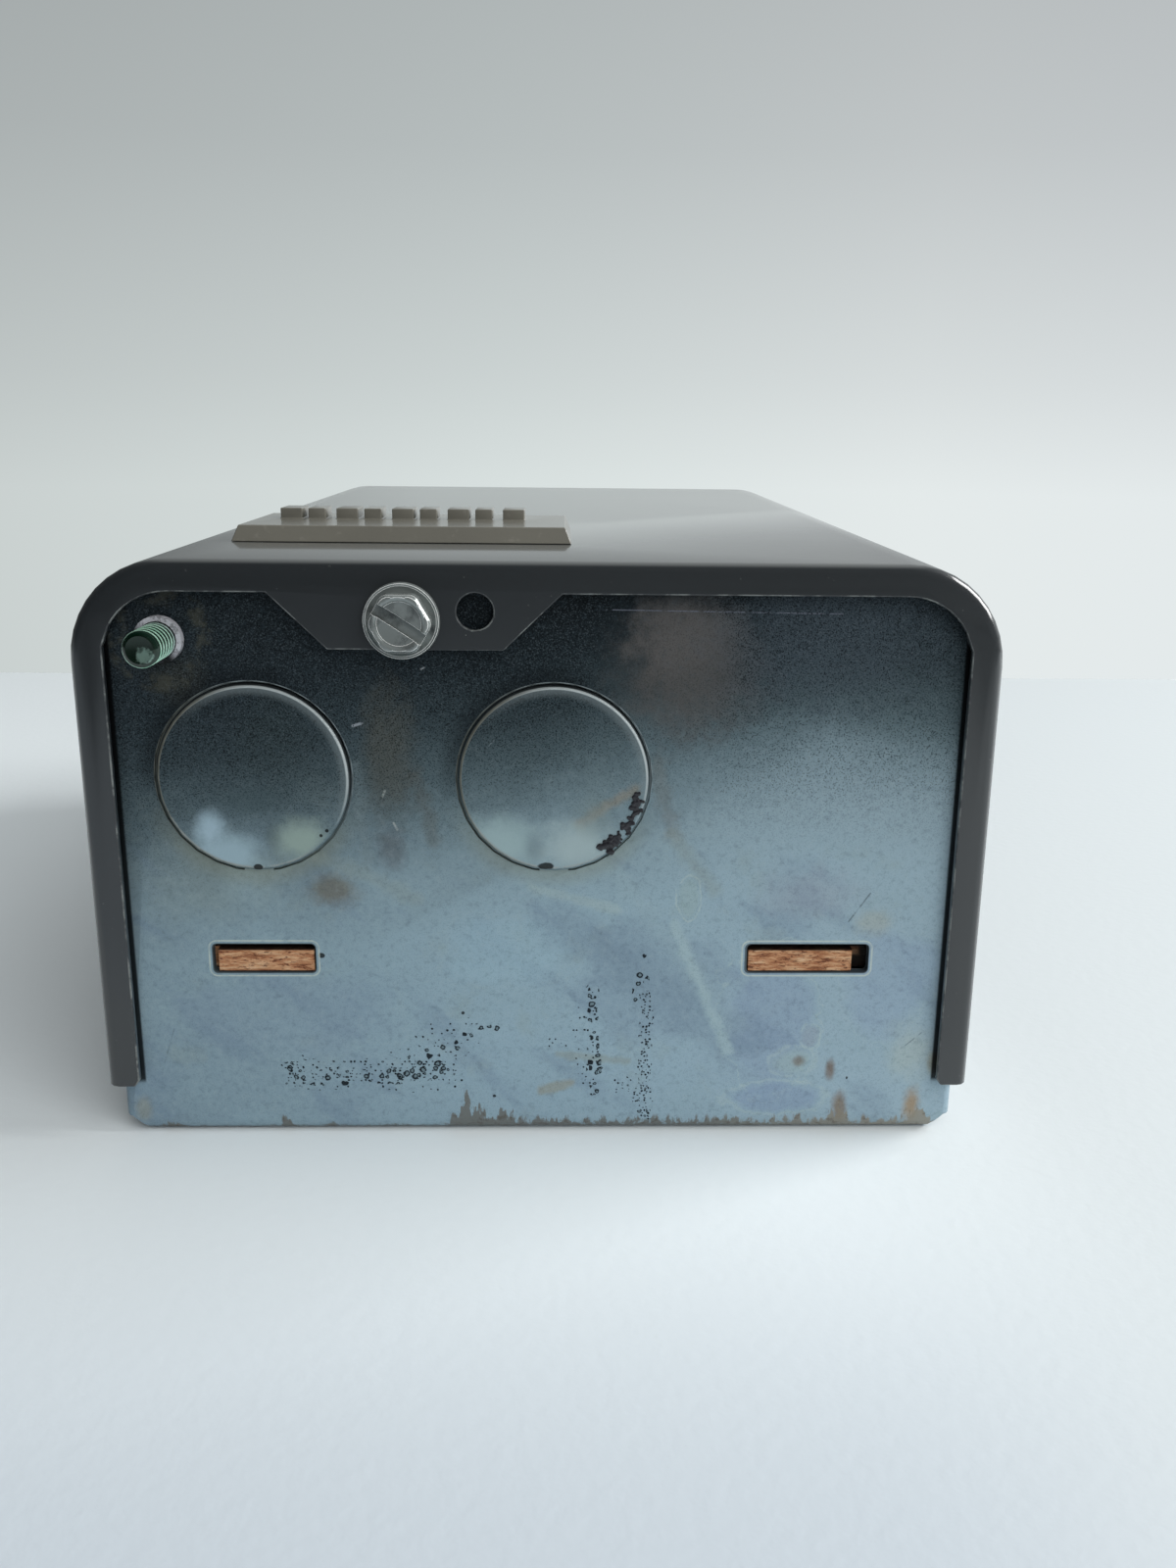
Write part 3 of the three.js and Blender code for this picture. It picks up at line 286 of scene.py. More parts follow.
# %% Finish helper
class Finish:
    """One material, built a node at a time, with its patterns in millimetres."""

    def __init__(self, name, metallic=0.0, roughness=0.5, **sockets):
        self.material = bpy.data.materials.new(name)
        self.material.use_nodes = True
        self.tree = self.material.node_tree
        self.shader = self.tree.nodes["Principled BSDF"]
        self.set("Metallic", metallic)
        self.set("Roughness", roughness)
        for socket, value in sockets.items():
            self.set(socket.replace("_", " "), value)
        place = self.node("ShaderNodeTexCoord").outputs["Object"]
        self.mm = self.vector("SCALE", place, Scale=1000.0)
        self.x, self.y, self.z = self.node("ShaderNodeSeparateXYZ", {0: self.mm}).outputs
        self.flat = self.node("ShaderNodeCombineXYZ", {0: self.x, 2: self.z}).outputs[0]
        self.colour = None

    def set(self, socket, value):
        feed(self.tree, self.shader.inputs[socket], value)

    def node(self, kind, feeds=None, **settings):
        return add_node(self.tree, kind, feeds, **settings)

    def vector(self, operation, first, second=None, **named):
        feeds = {0: first} if second is None else {0: first, 1: second}
        made = self.node("ShaderNodeVectorMath", {**feeds, **named}, operation=operation)
        return made.outputs["Value" if operation in ("DISTANCE", "LENGTH", "DOT_PRODUCT") else 0]

    def math(self, operation, first, second=0.0):
        return self.node("ShaderNodeMath", {0: first, 1: second}, operation=operation).outputs[0]

    def clamp(self, value):
        return self.node("ShaderNodeClamp", {0: value}).outputs[0]

    def chain(self, operation, values):
        total = values[0]
        for value in values[1:]:
            total = self.math(operation, total, value)
        return total

    def times(self, *values):
        return self.chain("MULTIPLY", values)

    def plus(self, *values):
        return self.chain("ADD", values)

    def largest(self, *values):
        return self.chain("MAXIMUM", values)

    def off(self, value, mark):
        """How far a value is from a mark, on either side."""
        return self.math("ABSOLUTE", self.plus(value, -mark))

    def step(self, value, low, high):
        """0 below low, 1 above high, smooth between; low above high turns it round."""
        return self.node("ShaderNodeMapRange", {0: value, 1: low, 2: high},
                         interpolation_type="SMOOTHSTEP").outputs[0]

    def noise(self, size, detail=2.0, rough=0.5, stretch=None, where=None):
        """Smooth noise from 0 to 1, with features of about size millimetres."""
        at = where or self.mm
        if stretch:
            at = self.vector("MULTIPLY", at, stretch)
        return self.node("ShaderNodeTexNoise", {"Vector": at, "Scale": 1 / size, "Detail": detail,
                                                "Roughness": rough}).outputs[0]

    def patches(self, size, low, high, **how):
        """Noise turned into patches: 0 where it is below low, 1 where it is above high."""
        return self.step(self.noise(size, **how), low, high)

    def grit(self, size, height):
        """Fine unevenness, as a height in millimetres."""
        return self.times(self.noise(size), height)

    def cells(self, size, where=None, **settings):
        """Distance to the nearest point of a jittered grid, and the point's three random numbers."""
        made = self.node("ShaderNodeTexVoronoi", {"Vector": where or self.mm, "Scale": 1 / size},
                         **settings)
        picks = self.node("ShaderNodeSeparateColor", {0: made.outputs["Color"]}).outputs
        return made.outputs["Distance"], picks

    def mix(self, share, low, high):
        return self.node("ShaderNodeMix", {0: share, 6: low, 7: high}, data_type="RGBA").outputs[2]

    def blend(self, share, low, high):
        """Starts the colour as a mix of two colours, as seen."""
        self.colour = self.mix(share, rgb(*low), rgb(*high))

    def paint(self, colour, *shares):
        """Lays a colour, as seen, over what is there, where all of the shares are near 1."""
        self.colour = self.mix(self.times(*shares), self.colour, rgb(*colour))

    def ramp(self, value, stops):
        """Starts the colour from stops of a place and a colour, as seen."""
        self.colour = add_ramp(self.tree, value, [(at, rgb(*colour)) for at, colour in stops])

    def bump(self, *heights):
        """Adds heights in millimetres to the surface, by shading only."""
        made = self.node("ShaderNodeBump", {"Height": self.plus(*heights), "Distance": MM,
                                            "Strength": 1.0})
        self.set("Normal", made.outputs[0])

    def finished(self, *heights):
        """Gives the colour and the heights to the shader; returns the material."""
        self.set("Base Color", self.colour)
        if heights:
            self.bump(*heights)
        return self.material

    def from_spot(self, x, z, stretch=1):
        """Distance in mm from a spot on an end wall, seen square to it."""
        if stretch == 1:
            return self.vector("DISTANCE", self.flat, (x, 0, z))
        offset = self.vector("SUBTRACT", self.flat, (x, 0, z))
        return self.vector("LENGTH", self.vector("MULTIPLY", offset, (1 / stretch, 1, 1)))

    def from_line(self, start, end):
        """Distance in mm from a straight line between two spots on an end wall."""
        a = Vector((start[0], 0, start[1]))
        run = Vector((end[0], 0, end[1])) - a
        offset = self.vector("SUBTRACT", self.flat, a)
        share = self.clamp(self.vector("DOT_PRODUCT", offset, run / run.length_squared))
        along = self.vector("SCALE", tuple(run), Scale=share)
        return self.vector("DISTANCE", offset, along)


print("finish helper ready")

# %% [markdown]
# ## Zinc plate
#
# The pan is steel with a passivated zinc coat. New, it is an even blue-white. Here it has aged:
# it is grainy at the top, and its lower right has bloomed violet with tide lines where it once got
# wet. Its dark top and pale blue foot are a painted reflection, of a dark room at the top and of
# the white table at the foot. A picture could be wrapped on it, but a picture has one resolution.
# Masks worked out from the place on the plate stay sharp from any distance. First the even coat,
# which the inside of the pan and the small brackets share.

# %% Even zinc coat
def zinc_coat(name):
    """Plain passivated zinc: pale blue-grey, softly mottled, with a fine grain."""
    coat = Finish(name, metallic=0.4, Specular_IOR_Level=0.15)
    cloud = coat.noise(22, detail=3)
    coat.blend(cloud, (126, 140, 150), (150, 160, 166))
    coat.paint((150, 152, 140), coat.patches(11, 0.5, 0.7), 0.35)
    grain = coat.noise(0.35, detail=1)
    coat.paint((86, 96, 104), coat.step(grain, 0.45, 0.75), 0.25)
    coat.set("Roughness", coat.plus(0.34, coat.times(cloud, 0.16)))
    coat.finished(coat.times(grain, 0.012))
    return coat


bracket_zinc = zinc_coat("bracket_zinc").material
print("even zinc:", bracket_zinc.name)

# %% [markdown]
# The near end wall is the face that is looked at, so it gets the whole history. One row of tones
# runs by a slanted height, because the dark part reaches lower on the left; these tones are the
# painted reflection. Over it go pools, where water stood and left a tide line, stains, patches of
# painted sheen on the upper right, streaks, scratches and spatter. Each kind is a list of its
# marks, with a place, a size, a colour and a strength, so that any mark can be moved alone.

# %% Marks on the near end wall
WALL_Y = -78.2  # the wall's outer face
SHEET = 1.2  # its thickness
CUT = 11.1  # radius of a knockout's cut
LEFT_KNOCKOUT, RIGHT_KNOCKOUT = (-33.1, 45.6), (1.5, 45.6)
SLANT_FROM, SLANT_TO, SLANT_RISE = -42, 34, 11.5
TONE_SPAN, TONE_DRIFT = 72, 13
PAINTED_REFLECTION_TONES = [  # height, colour
    (0, (150, 174, 187)), (22, (153, 177, 188)), (29, (142, 164, 173)), (36, (120, 140, 147)),
    (42, (86, 102, 107)), (48, (54, 66, 70)), (54, (35, 44, 48)), (60, (24, 30, 33)),
    (72, (11, 14, 15)),
]
POOLS = [  # x, z, radius, width against height, colour, strength, strength of the tide line
    (28, 15, 10.5, 0.62, (132, 150, 176), 0.4, 0.4),
    (29, 4.6, 2.4, 2.6, (132, 152, 180), 0.5, 0.3),
    (31, 9.6, 2.2, 1.4, (160, 180, 180), 0.5, 0.35),
    (33, 13, 1.7, 0.8, (150, 162, 172), 0.5, 0.4),
    (17.7, 30.8, 3, 0.5, (156, 176, 172), 0.4, 0.6),
    (42, 20, 8, 0.8, (142, 162, 186), 0.35, 0.14),
    (13, 20, 9, 1.2, (128, 148, 164), 0.4, 0.1),
    (-3, 24, 5, 1.8, (160, 188, 200), 0.4, 0.1),
    (-30, 16, 6.5, 2.2, (134, 154, 170), 0.35, 0.08),
]
STAINS_AND_SHEEN = [  # x, z, radius, width against height, colour, strength
    # The first three are painted sheen on the upper right, not stains; the rest are stains.
    (17, 58, 11, 1.05, (86, 84, 82), 0.85),
    (16.5, 62.5, 6.5, 1.4, (98, 95, 93), 0.75),
    (33, 61.5, 12, 1.6, (70, 80, 88), 0.6),
    (-17.5, 48, 12, 0.36, (84, 84, 76), 0.65),
    (-39, 33, 7, 1.6, (146, 163, 162), 0.4),
    (-17.6, 37, 3.6, 0.7, (98, 104, 108), 0.6),
    (-24.6, 31.8, 2.9, 1.5, (116, 112, 98), 0.75),
    (-41, 56.8, 4.6, 1, (60, 60, 52), 0.5),
    (-30.6, 50, 8, 0.8, (56, 68, 68), 0.3),
    (32, 31.5, 4.5, 2, (150, 158, 170), 0.4),
    (40, 28, 2.6, 1.2, (170, 170, 152), 0.4),
    (35.8, 8.4, 2, 0.45, (118, 102, 90), 0.85),
    (37.2, 3.4, 3, 0.45, (132, 118, 104), 0.85),
    (46.2, 3.6, 3.2, 0.5, (160, 140, 114), 0.9),
    (48.6, 9.4, 2.2, 0.6, (150, 144, 120), 0.7),
    (45.6, 10.6, 5.2, 0.8, (172, 184, 178), 0.5),
    (31.8, 9.6, 1, 1.2, (120, 108, 96), 0.7),
    (-49, 3, 2.6, 0.6, (150, 150, 134), 0.5),
]
STREAKS = [  # start, end, half width, colour, strength
    ((13.4, 47), (15.4, 39), 1.6, (116, 112, 102), 0.32),
    ((15.4, 39), (20.5, 32), 1.5, (140, 150, 142), 0.35),
    ((11, 44.6), (4.6, 40.4), 1.2, (150, 140, 122), 0.55),
    ((4.6, 40.4), (4.4, 37.6), 0.9, (146, 140, 126), 0.45),
    ((-1, 32.2), (9, 29.4), 1, (172, 190, 188), 0.5),
    ((2, 28), (24, 12), 5, (120, 140, 156), 0.4),
    ((9, 34), (24, 14), 2, (160, 182, 188), 0.25),
    ((16, 27.5), (23, 11), 1.1, (176, 198, 200), 0.5),
    ((-14.4, 46), (-12.6, 38), 1.4, (92, 88, 78), 0.35),
    ((-21.5, 47), (-20.4, 36), 1.3, (124, 138, 140), 0.35),
    ((0, 5.6), (3.4, 6.6), 1, (150, 148, 130), 0.6),
    ((2, 10.6), (10.6, 9.6), 0.8, (144, 152, 142), 0.5),
    ((-26, 36), (-15, 31), 1.6, (146, 160, 156), 0.4),
]
SCRATCHES = [  # start, end, half width, colour, strength
    ((6.9, 65.3), (34, 65), 0.09, (112, 116, 128), 0.8),
    ((36.9, 28), (39.3, 31.6), 0.12, (72, 84, 88), 0.6),
    ((44.4, 11.2), (46.8, 13.4), 0.1, (92, 104, 112), 0.6),
    ((-44.5, 14), (-46.3, 8.5), 0.1, (92, 108, 118), 0.5),
    ((-21.5, 51.8), (-20.5, 52.1), 0.22, (160, 166, 172), 0.8),
    ((-18.4, 43.4), (-18.1, 44.1), 0.17, (158, 164, 160), 0.8),
    ((-17.2, 40.2), (-16.8, 39.4), 0.17, (168, 174, 172), 0.8),
    ((-13.6, 58.4), (-13.2, 58.6), 0.13, (160, 164, 166), 0.8),
    ((-6, 49.6), (-5.4, 50.3), 0.1, (120, 132, 136), 0.7),
]
COARSE_SPATTER = [  # start, end, half width, density
    ((-31, 8.8), (-25, 7.4), 1.3, 0.5),
    ((-25, 7.4), (-19, 7.8), 1.1, 0.75),
    ((-19, 7.8), (-12.4, 8.2), 1, 0.95),
    ((-15, 9.4), (-11, 12), 1.4, 0.45),
    ((-9, 13), (-6, 14), 0.8, 0.5),
    ((6.3, 19), (6.2, 15.5), 0.75, 1),
    ((6.5, 13.8), (6.5, 5.6), 0.75, 0.9),
    ((12.2, 23.5), (11.8, 18.5), 0.8, 0.7),
    ((12.4, 3.4), (12.2, 1.6), 0.8, 0.5),
]
FINE_SPATTER = [
    ((-30, 8), (-12, 8), 2, 0.4),
    ((-16, 9), (-9, 13.5), 2.6, 0.2),
    ((5.4, 17), (6, 7), 1.4, 0.3),
    ((12.8, 18.5), (12.6, 2), 0.8, 0.85),
    ((1, 12.2), (3, 11.8), 1.2, 0.3),
    ((10, 6.2), (12.8, 4.6), 1, 0.5),
]
marks = (POOLS, STAINS_AND_SHEEN, STREAKS, SCRATCHES, COARSE_SPATTER, FINE_SPATTER)
print("marks on the near end wall:", sum(len(kind) for kind in marks))

# %% Tones of the near end wall
pan = zinc_coat("pan_zinc")
even_coat = pan.colour
near_side = pan.step(pan.y, WALL_Y + SHEET - 0.05, WALL_Y + SHEET - 0.25)
slant = pan.times(pan.step(pan.x, SLANT_FROM, SLANT_TO), -SLANT_RISE)
drift = pan.times(pan.plus(pan.noise(24, detail=4, rough=0.55), -0.5), TONE_DRIFT)
tone = pan.clamp(pan.times(pan.plus(pan.z, slant, drift), 1 / TONE_SPAN))
# Painted reflection: the tones run from pale at the foot, where the plate mirrors the table, to dark
# at the top, where it mirrors the dark room.
pan.ramp(tone, [(height / TONE_SPAN, colour) for height, colour in PAINTED_REFLECTION_TONES])
dark_part = pan.step(tone, 0.42, 0.72)

# Painted shade on the left half, and painted light on the right below the dark part, where the
# window's light falls.
pan.paint((62, 74, 80), pan.step(pan.x, 0, -44), 0.23)
pan.paint((164, 183, 193), pan.step(pan.x, 2, 40), pan.step(tone, 0.58, 0.42), 0.36)
along = pan.vector("DOT_PRODUCT", pan.flat, (0.78, 0, -0.62))
crosswise = pan.vector("DOT_PRODUCT", pan.flat, (0.62, 0, 0.78))
flow_place = pan.node("ShaderNodeCombineXYZ", {0: pan.times(along, 0.35), 2: crosswise})
flow = pan.noise(6, detail=5, rough=0.6, where=flow_place.outputs[0])
pan.paint((148, 172, 182), pan.step(flow, 0.5, 0.68), pan.step(pan.z, 44, 30), 0.4)
pan.paint((104, 124, 148), pan.step(flow, 0.5, 0.34), pan.step(pan.z, 46, 30), 0.3)
olive = pan.patches(7, 0.54, 0.7, detail=5, rough=0.65)
pan.paint((142, 154, 146), olive, pan.step(pan.z, 50, 34), 0.22)
print("tones set:", len(PAINTED_REFLECTION_TONES), "levels over", TONE_SPAN, "mm")

# %% Pools, stains, painted sheen, streaks and scratches
TIDE_COLOUR = (176, 194, 192)
TIDE_WIDTH = 0.3


def in_radii(x, z, radius, stretch, wobble):
    """Distance from a spot, counted in radii and made uneven by a wobble."""
    return pan.plus(pan.math("DIVIDE", pan.from_spot(x, z, stretch), radius), wobble)


ragged = pan.plus(pan.noise(2.6, detail=5, rough=0.65), -0.5)
wander = pan.plus(pan.noise(6.5, detail=5, rough=0.6), -0.5)
broken = pan.patches(1.2, 0.34, 0.52, detail=3)
for x, z, radius, stretch, colour, strength, line in POOLS:
    shore = in_radii(x, z, radius, stretch, pan.times(wander, 1.5))
    pan.paint(colour, pan.step(shore, 1.04, 0.62), strength)
    tide = pan.step(pan.off(shore, 1), TIDE_WIDTH / radius, TIDE_WIDTH / radius / 6)
    pan.paint(TIDE_COLOUR, tide, broken, line)
for x, z, radius, stretch, colour, strength in STAINS_AND_SHEEN:
    pan.paint(colour, pan.step(in_radii(x, z, radius, stretch, ragged), 1, 0.2), strength)
for start, end, width, colour, strength in STREAKS:
    away = pan.math("DIVIDE", pan.from_line(start, end), width)
    pan.paint(colour, pan.step(pan.plus(away, pan.times(ragged, 2)), 1, 0.1), strength)
for start, end, width, colour, strength in SCRATCHES:
    pan.paint(colour, pan.step(pan.from_line(start, end), width, width * 0.4), broken, strength)
print("pools, stains, streaks and scratches laid on")

# %% [markdown]
# Passivated zinc has a salt and pepper grain: fine dark pits and pale specks, strongest where the
# plate is painted dark. The pits are the low parts of a fine noise and the specks are its high
# parts.

# %% Grain
GRAIN = 0.15
grain = pan.noise(GRAIN, rough=0.6)
coarse_grain = pan.noise(0.9, detail=3, rough=0.7)
smooth_area = pan.step(pan.from_spot(14, 60), 10, 6)
right_band = pan.times(pan.step(pan.x, 12, 26), pan.step(pan.z, 36, 50), 0.75)
grainy = pan.times(pan.largest(dark_part, right_band), pan.plus(1, pan.times(smooth_area, -0.8)))
pan.paint((104, 114, 120), pan.step(grain, 0.53, 0.7), pan.plus(0.08, pan.times(grainy, 0.3)))
pan.paint((10, 13, 17), pan.step(grain, 0.48, 0.34), pan.plus(0.16, pan.times(grainy, 0.8)))
light_part = pan.math("SUBTRACT", 1, dark_part)
pan.paint((172, 186, 190), pan.step(coarse_grain, 0.5, 0.72), light_part, 0.14)
pan.paint((62, 76, 84), pan.step(coarse_grain, 0.5, 0.28), 0.2)
print("grain of", GRAIN, "mm")

# %% [markdown]
# A knockout is sheared half through and pushed back, so it has a burnished line on each side of
# a cut. The burnish is real, but its light and shade are painted: a painted highlight on the upper
# right, dull lines on the left, and painted shade in the cut and outside its upper left. The blow
# of the punch also dished each disc on both sides of its tie, and the pale and dark patches on the
# dishes are painted light and shade.

# %% Knockouts
def sector(spot, degrees, inner, outer):
    """1 towards a direction from a spot on the wall, 0 away from it."""
    offset = pan.vector("SUBTRACT", pan.flat, (spot[0], 0, spot[1]))
    turned = math.radians(degrees)
    towards = pan.vector("DOT_PRODUCT", pan.vector("NORMALIZE", offset),
                         (math.cos(turned), 0, math.sin(turned)))
    return pan.step(towards, math.cos(math.radians(outer)), math.cos(math.radians(inner)))


def circle_line(away, radius, half_width):
    """A line along a circle, as 1 on the line and 0 off it."""
    return pan.step(pan.off(away, radius), half_width, half_width * 0.3)


DISH_LIGHT_AND_SHADE = [  # x, z, radius, width against height, colour, strength
    (-36.6, 36.6, 3.6, 1.7, (160, 184, 194), 0.9),
    (-38.4, 39.6, 3, 0.75, (170, 194, 206), 0.85),
    (-28, 38.2, 3.8, 1.2, (152, 170, 162), 0.95),
    (-31.2, 38.6, 3, 0.45, (66, 78, 82), 0.3),
    (-33.5, 43, 2.6, 2, (70, 86, 90), 0.4),
    (-4.6, 37.8, 4.6, 1.5, (158, 180, 182), 1),
    (4.2, 37.6, 4.4, 1.4, (166, 184, 186), 1),
    (-0.8, 37.4, 2.6, 0.7, (92, 106, 112), 0.35),
    (6, 41, 3.4, 1, (128, 142, 140), 0.4),
]
SPECKS = [  # x, z, half width, half height
    (-33.1, 34.9, 0.5, 0.4), (-24.9, 39.4, 0.25, 0.25), (-25.6, 38.8, 0.2, 0.2),
    (0.6, 35.1, 0.95, 0.45), (-26.3, 23.6, 0.4, 0.35), (-9.5, 16.1, 0.24, 0.24),
    (-13.3, 14, 0.14, 0.14), (-5.8, 4.9, 0.24, 0.2), (37.9, 7.3, 0.14, 0.22),
]
for spot in (LEFT_KNOCKOUT, RIGHT_KNOCKOUT):
    away = pan.from_spot(*spot)
    # Painted shadow outside the upper left of each cut, and a tan band outside its foot.
    halo = pan.times(pan.step(away, CUT + 3, CUT + 0.4), pan.step(away, CUT - 0.2, CUT + 0.2))
    pan.paint((12, 16, 20), halo, sector(spot, 125, 35, 75), 0.5)
    pan.paint((142, 146, 126), halo, sector(spot, 270, 30, 80), 0.4)
# Pale and dark patches of painted light and shade on the dishes inside each cut.
for x, z, radius, stretch, colour, strength in DISH_LIGHT_AND_SHADE:
    spot = LEFT_KNOCKOUT if x < -20 else RIGHT_KNOCKOUT
    inside = pan.step(pan.from_spot(*spot), CUT - 0.1, CUT - 0.7)
    dish = pan.step(in_radii(x, z, radius, stretch, pan.times(ragged, 0.8)), 1.05, 0.15)
    pan.paint(colour, dish, inside, strength)
# The rim's painted highlight on the upper right, with a lighter scuff inside it; dull lines on the
# left and a pale broken one at the foot; and the dark cut as painted shade, deepest on the upper
# right.
for spot in (LEFT_KNOCKOUT, RIGHT_KNOCKOUT):
    away = pan.from_spot(*spot)
    upper_right = sector(spot, 55, 30, 95)
    left_side = sector(spot, 185, 50, 100)
    foot_side = sector(spot, 255, 30, 62)
    scuff_and_highlight = pan.times(pan.step(away, CUT - 1.6, CUT - 0.5), pan.step(away, CUT + 0.1, CUT - 0.1))
    cut_shade_share = pan.plus(0.3, pan.times(upper_right, 0.55))
    pan.paint((128, 138, 140), scuff_and_highlight, upper_right, 0.5)
    pan.paint((196, 204, 204), circle_line(away, CUT - 0.32, 0.2), upper_right, 0.9)
    pan.paint((176, 188, 190), circle_line(away, CUT + 0.18, 0.18), upper_right, 0.8)
    pan.paint((14, 16, 18), circle_line(away, CUT - 0.06, 0.16), cut_shade_share)
    pan.paint((124, 124, 114), circle_line(away, CUT - 0.3, 0.2), left_side, 0.85)
    pan.paint((128, 132, 124), circle_line(away, CUT + 0.2, 0.15), left_side, 0.6)
    pan.paint((164, 170, 166), circle_line(away, CUT - 0.4, 0.22), foot_side, broken, 0.6)
for x, z, half_width, half_height in SPECKS:
    fleck = in_radii(x, z, half_height, half_width / half_height, pan.times(ragged, 1.2))
    pan.paint((22, 20, 20), pan.step(fleck, 1.1, 0.8), 0.9)
print("knockouts marked, with", len(DISH_LIGHT_AND_SHADE), "dishes and", len(SPECKS), "specks")

# %% Rust along the foot
FLAMES = [  # x, height, half width
    (-9, 4.4, 3.4), (-4.4, 3.2, 2.2), (2, 1.7, 6), (8, 1.3, 5), (20, 1.2, 8), (31, 1.8, 7),
    (37, 3.2, 2.4), (46.6, 3.2, 2.6), (-31.5, 1.6, 1.6), (-45.5, 1.4, 2.4), (-26, 1, 1.4),
    (-18, 0.9, 4),
]
foot_noise = pan.noise(0.9, detail=4, rough=0.65, stretch=(1, 1, 0.3))
height = pan.plus(0.5, pan.step(pan.x, -14, -8))
for x, tall, half_width in FLAMES:
    here = pan.step(pan.off(pan.x, x), half_width, half_width * 0.2)
    height = pan.largest(height, pan.times(here, tall))
foot_top = pan.times(height, pan.plus(0.4, pan.step(foot_noise, 0.34, 0.7)))
foot_rust = pan.step(pan.math("SUBTRACT", pan.z, foot_top), 0.55, -0.25)
warm = pan.mix(pan.step(pan.x, 12, 44), rgb(112, 109, 101), rgb(150, 143, 128))
pan.colour = pan.mix(pan.times(foot_rust, 0.8), pan.colour, warm)
pan.paint((88, 72, 60), foot_rust, pan.patches(0.8, 0.5, 0.64, detail=4, rough=0.65), 0.45)
print("rust flames along the foot:", len(FLAMES))

# %% Spatter
def spatter(size, smallest, largest, runs, hollow):
    """Dried drops on a jittered grid, kept near the runs; some have a pale heart."""
    sheet = pan.node("ShaderNodeCombineXYZ", {0: pan.x, 1: pan.z}).outputs[0]
    wobble = pan.node("ShaderNodeTexNoise", {"Vector": pan.mm, "Scale": 1.6 / size})
    shift = pan.vector("SCALE", wobble.outputs["Color"], Scale=size * 0.55)
    distance, pick = pan.cells(size, where=pan.vector("ADD", sheet, shift),
                               voronoi_dimensions="2D")
    distance = pan.times(distance, size)
    radius = pan.plus(smallest, pan.times(pick[0], largest - smallest))
    near = 0
    for start, end, half_width, density in runs:
        close = pan.step(pan.from_line(start, end), half_width * 1.5, half_width * 0.3)
        near = pan.largest(near, pan.times(close, density))
    kept = pan.math("GREATER_THAN", near, pick[1])
    drop = pan.times(kept, pan.step(distance, radius, pan.times(radius, 0.82)))
    heart = pan.times(drop, pan.step(distance, pan.times(radius, 0.55), pan.times(radius, 0.35)),
                      pan.math("LESS_THAN", pick[2], hollow))
    pan.paint((16, 22, 28), drop, 0.95)
    pan.paint((118, 138, 146), heart, 0.85)
    return drop


coarse_drops = spatter(0.95, 0.16, 0.48, COARSE_SPATTER, 0.75)
fine_drops = spatter(0.42, 0.06, 0.17, FINE_SPATTER, 0.15)
print("spatter in two sizes")

# %% Ground screw's collar
COLLAR_RADIUS = 2.95
GROUND_LOW, GROUND_HIGH = (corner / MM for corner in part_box("ground_screw"))
GROUND_AXIS = ((GROUND_LOW.x + GROUND_HIGH.x) / 2, (GROUND_LOW.z + GROUND_HIGH.z) / 2)
from_ground = pan.from_spot(*GROUND_AXIS)
on_collar = pan.times(pan.step(from_ground, COLLAR_RADIUS + 0.1, COLLAR_RADIUS),
                      pan.step(pan.y, WALL_Y - 0.05, WALL_Y - 0.3))
# The collar is painted dark all round as shade, with a painted highlight on its upper right; the
# mottling and the ring outside it are dirt.
pan.paint((34, 36, 36), on_collar)
pan.paint((206, 206, 212), on_collar, sector(GROUND_AXIS, 50, 70, 112))
pan.paint((70, 70, 74), on_collar, pan.patches(0.6, 0.5, 0.62, detail=4, rough=0.7), 0.6)
pan.paint((84, 84, 74), circle_line(from_ground, 5, 1.6), pan.step(ragged, -0.05, 0.12), 0.5)
print("collar at", [round(v, 1) for v in GROUND_AXIS])

# %% Painted shadow beside the flanges
FLANGE_LINE = 48.6
flange_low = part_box("cover")[0].z / MM
beside = pan.step(pan.math("ABSOLUTE", pan.x), FLANGE_LINE - 0.35, FLANGE_LINE - 0.05)
# Painted shadow: a near-black band on the wall beside each flange's inner edge, where the flange
# stands off the wall.
pan.paint((8, 8, 9), beside, pan.step(pan.z, flange_low - 0.5, flange_low + 0.3), 0.93)
print("painted_shadow from", round(flange_low, 1), "mm up")

# %% Board slots in the wall
SLOT_Z = 23.22
SLOT_HALF_HEIGHT = 1.82
SLOT_CORNER = 0.5
SLOT_LINE = 0.42
for middle, half_length in ((-33.1, 6.1), (32.1, 7.45)):
    dx = pan.plus(pan.off(pan.x, middle), SLOT_CORNER - half_length)
    dz = pan.plus(pan.off(pan.z, SLOT_Z), SLOT_CORNER - SLOT_HALF_HEIGHT)
    corner = pan.node("ShaderNodeCombineXYZ", {0: pan.largest(dx, 0), 1: pan.largest(dz, 0)})
    outside = pan.plus(pan.vector("LENGTH", corner.outputs[0]), -SLOT_CORNER)
    # A pale line a little way outside each slot, and painted shade on the slot's cut edge.
    line = pan.step(pan.off(outside, SLOT_LINE), 0.14, 0.03)
    pan.paint((196, 204, 192), line, pan.plus(0.4, pan.times(broken, 0.4)))
    pan.paint((26, 26, 24), pan.step(outside, 0.16, 0.05), 0.75)
print("slots framed")

# %% Join the two coats
pan.colour = pan.mix(near_side, even_coat, pan.colour)
smear = pan.noise(7, detail=3, stretch=(1, 1, 0.5))
pan.set("Roughness", pan.plus(0.4, pan.times(smear, 0.16), pan.times(foot_rust, 0.2)))
pan.finished(pan.times(grain, 0.02), pan.times(coarse_drops, 0.06), pan.times(fine_drops, 0.03),
             pan.grit(30, 0.25))
print("pan zinc has", len(pan.tree.nodes), "nodes")

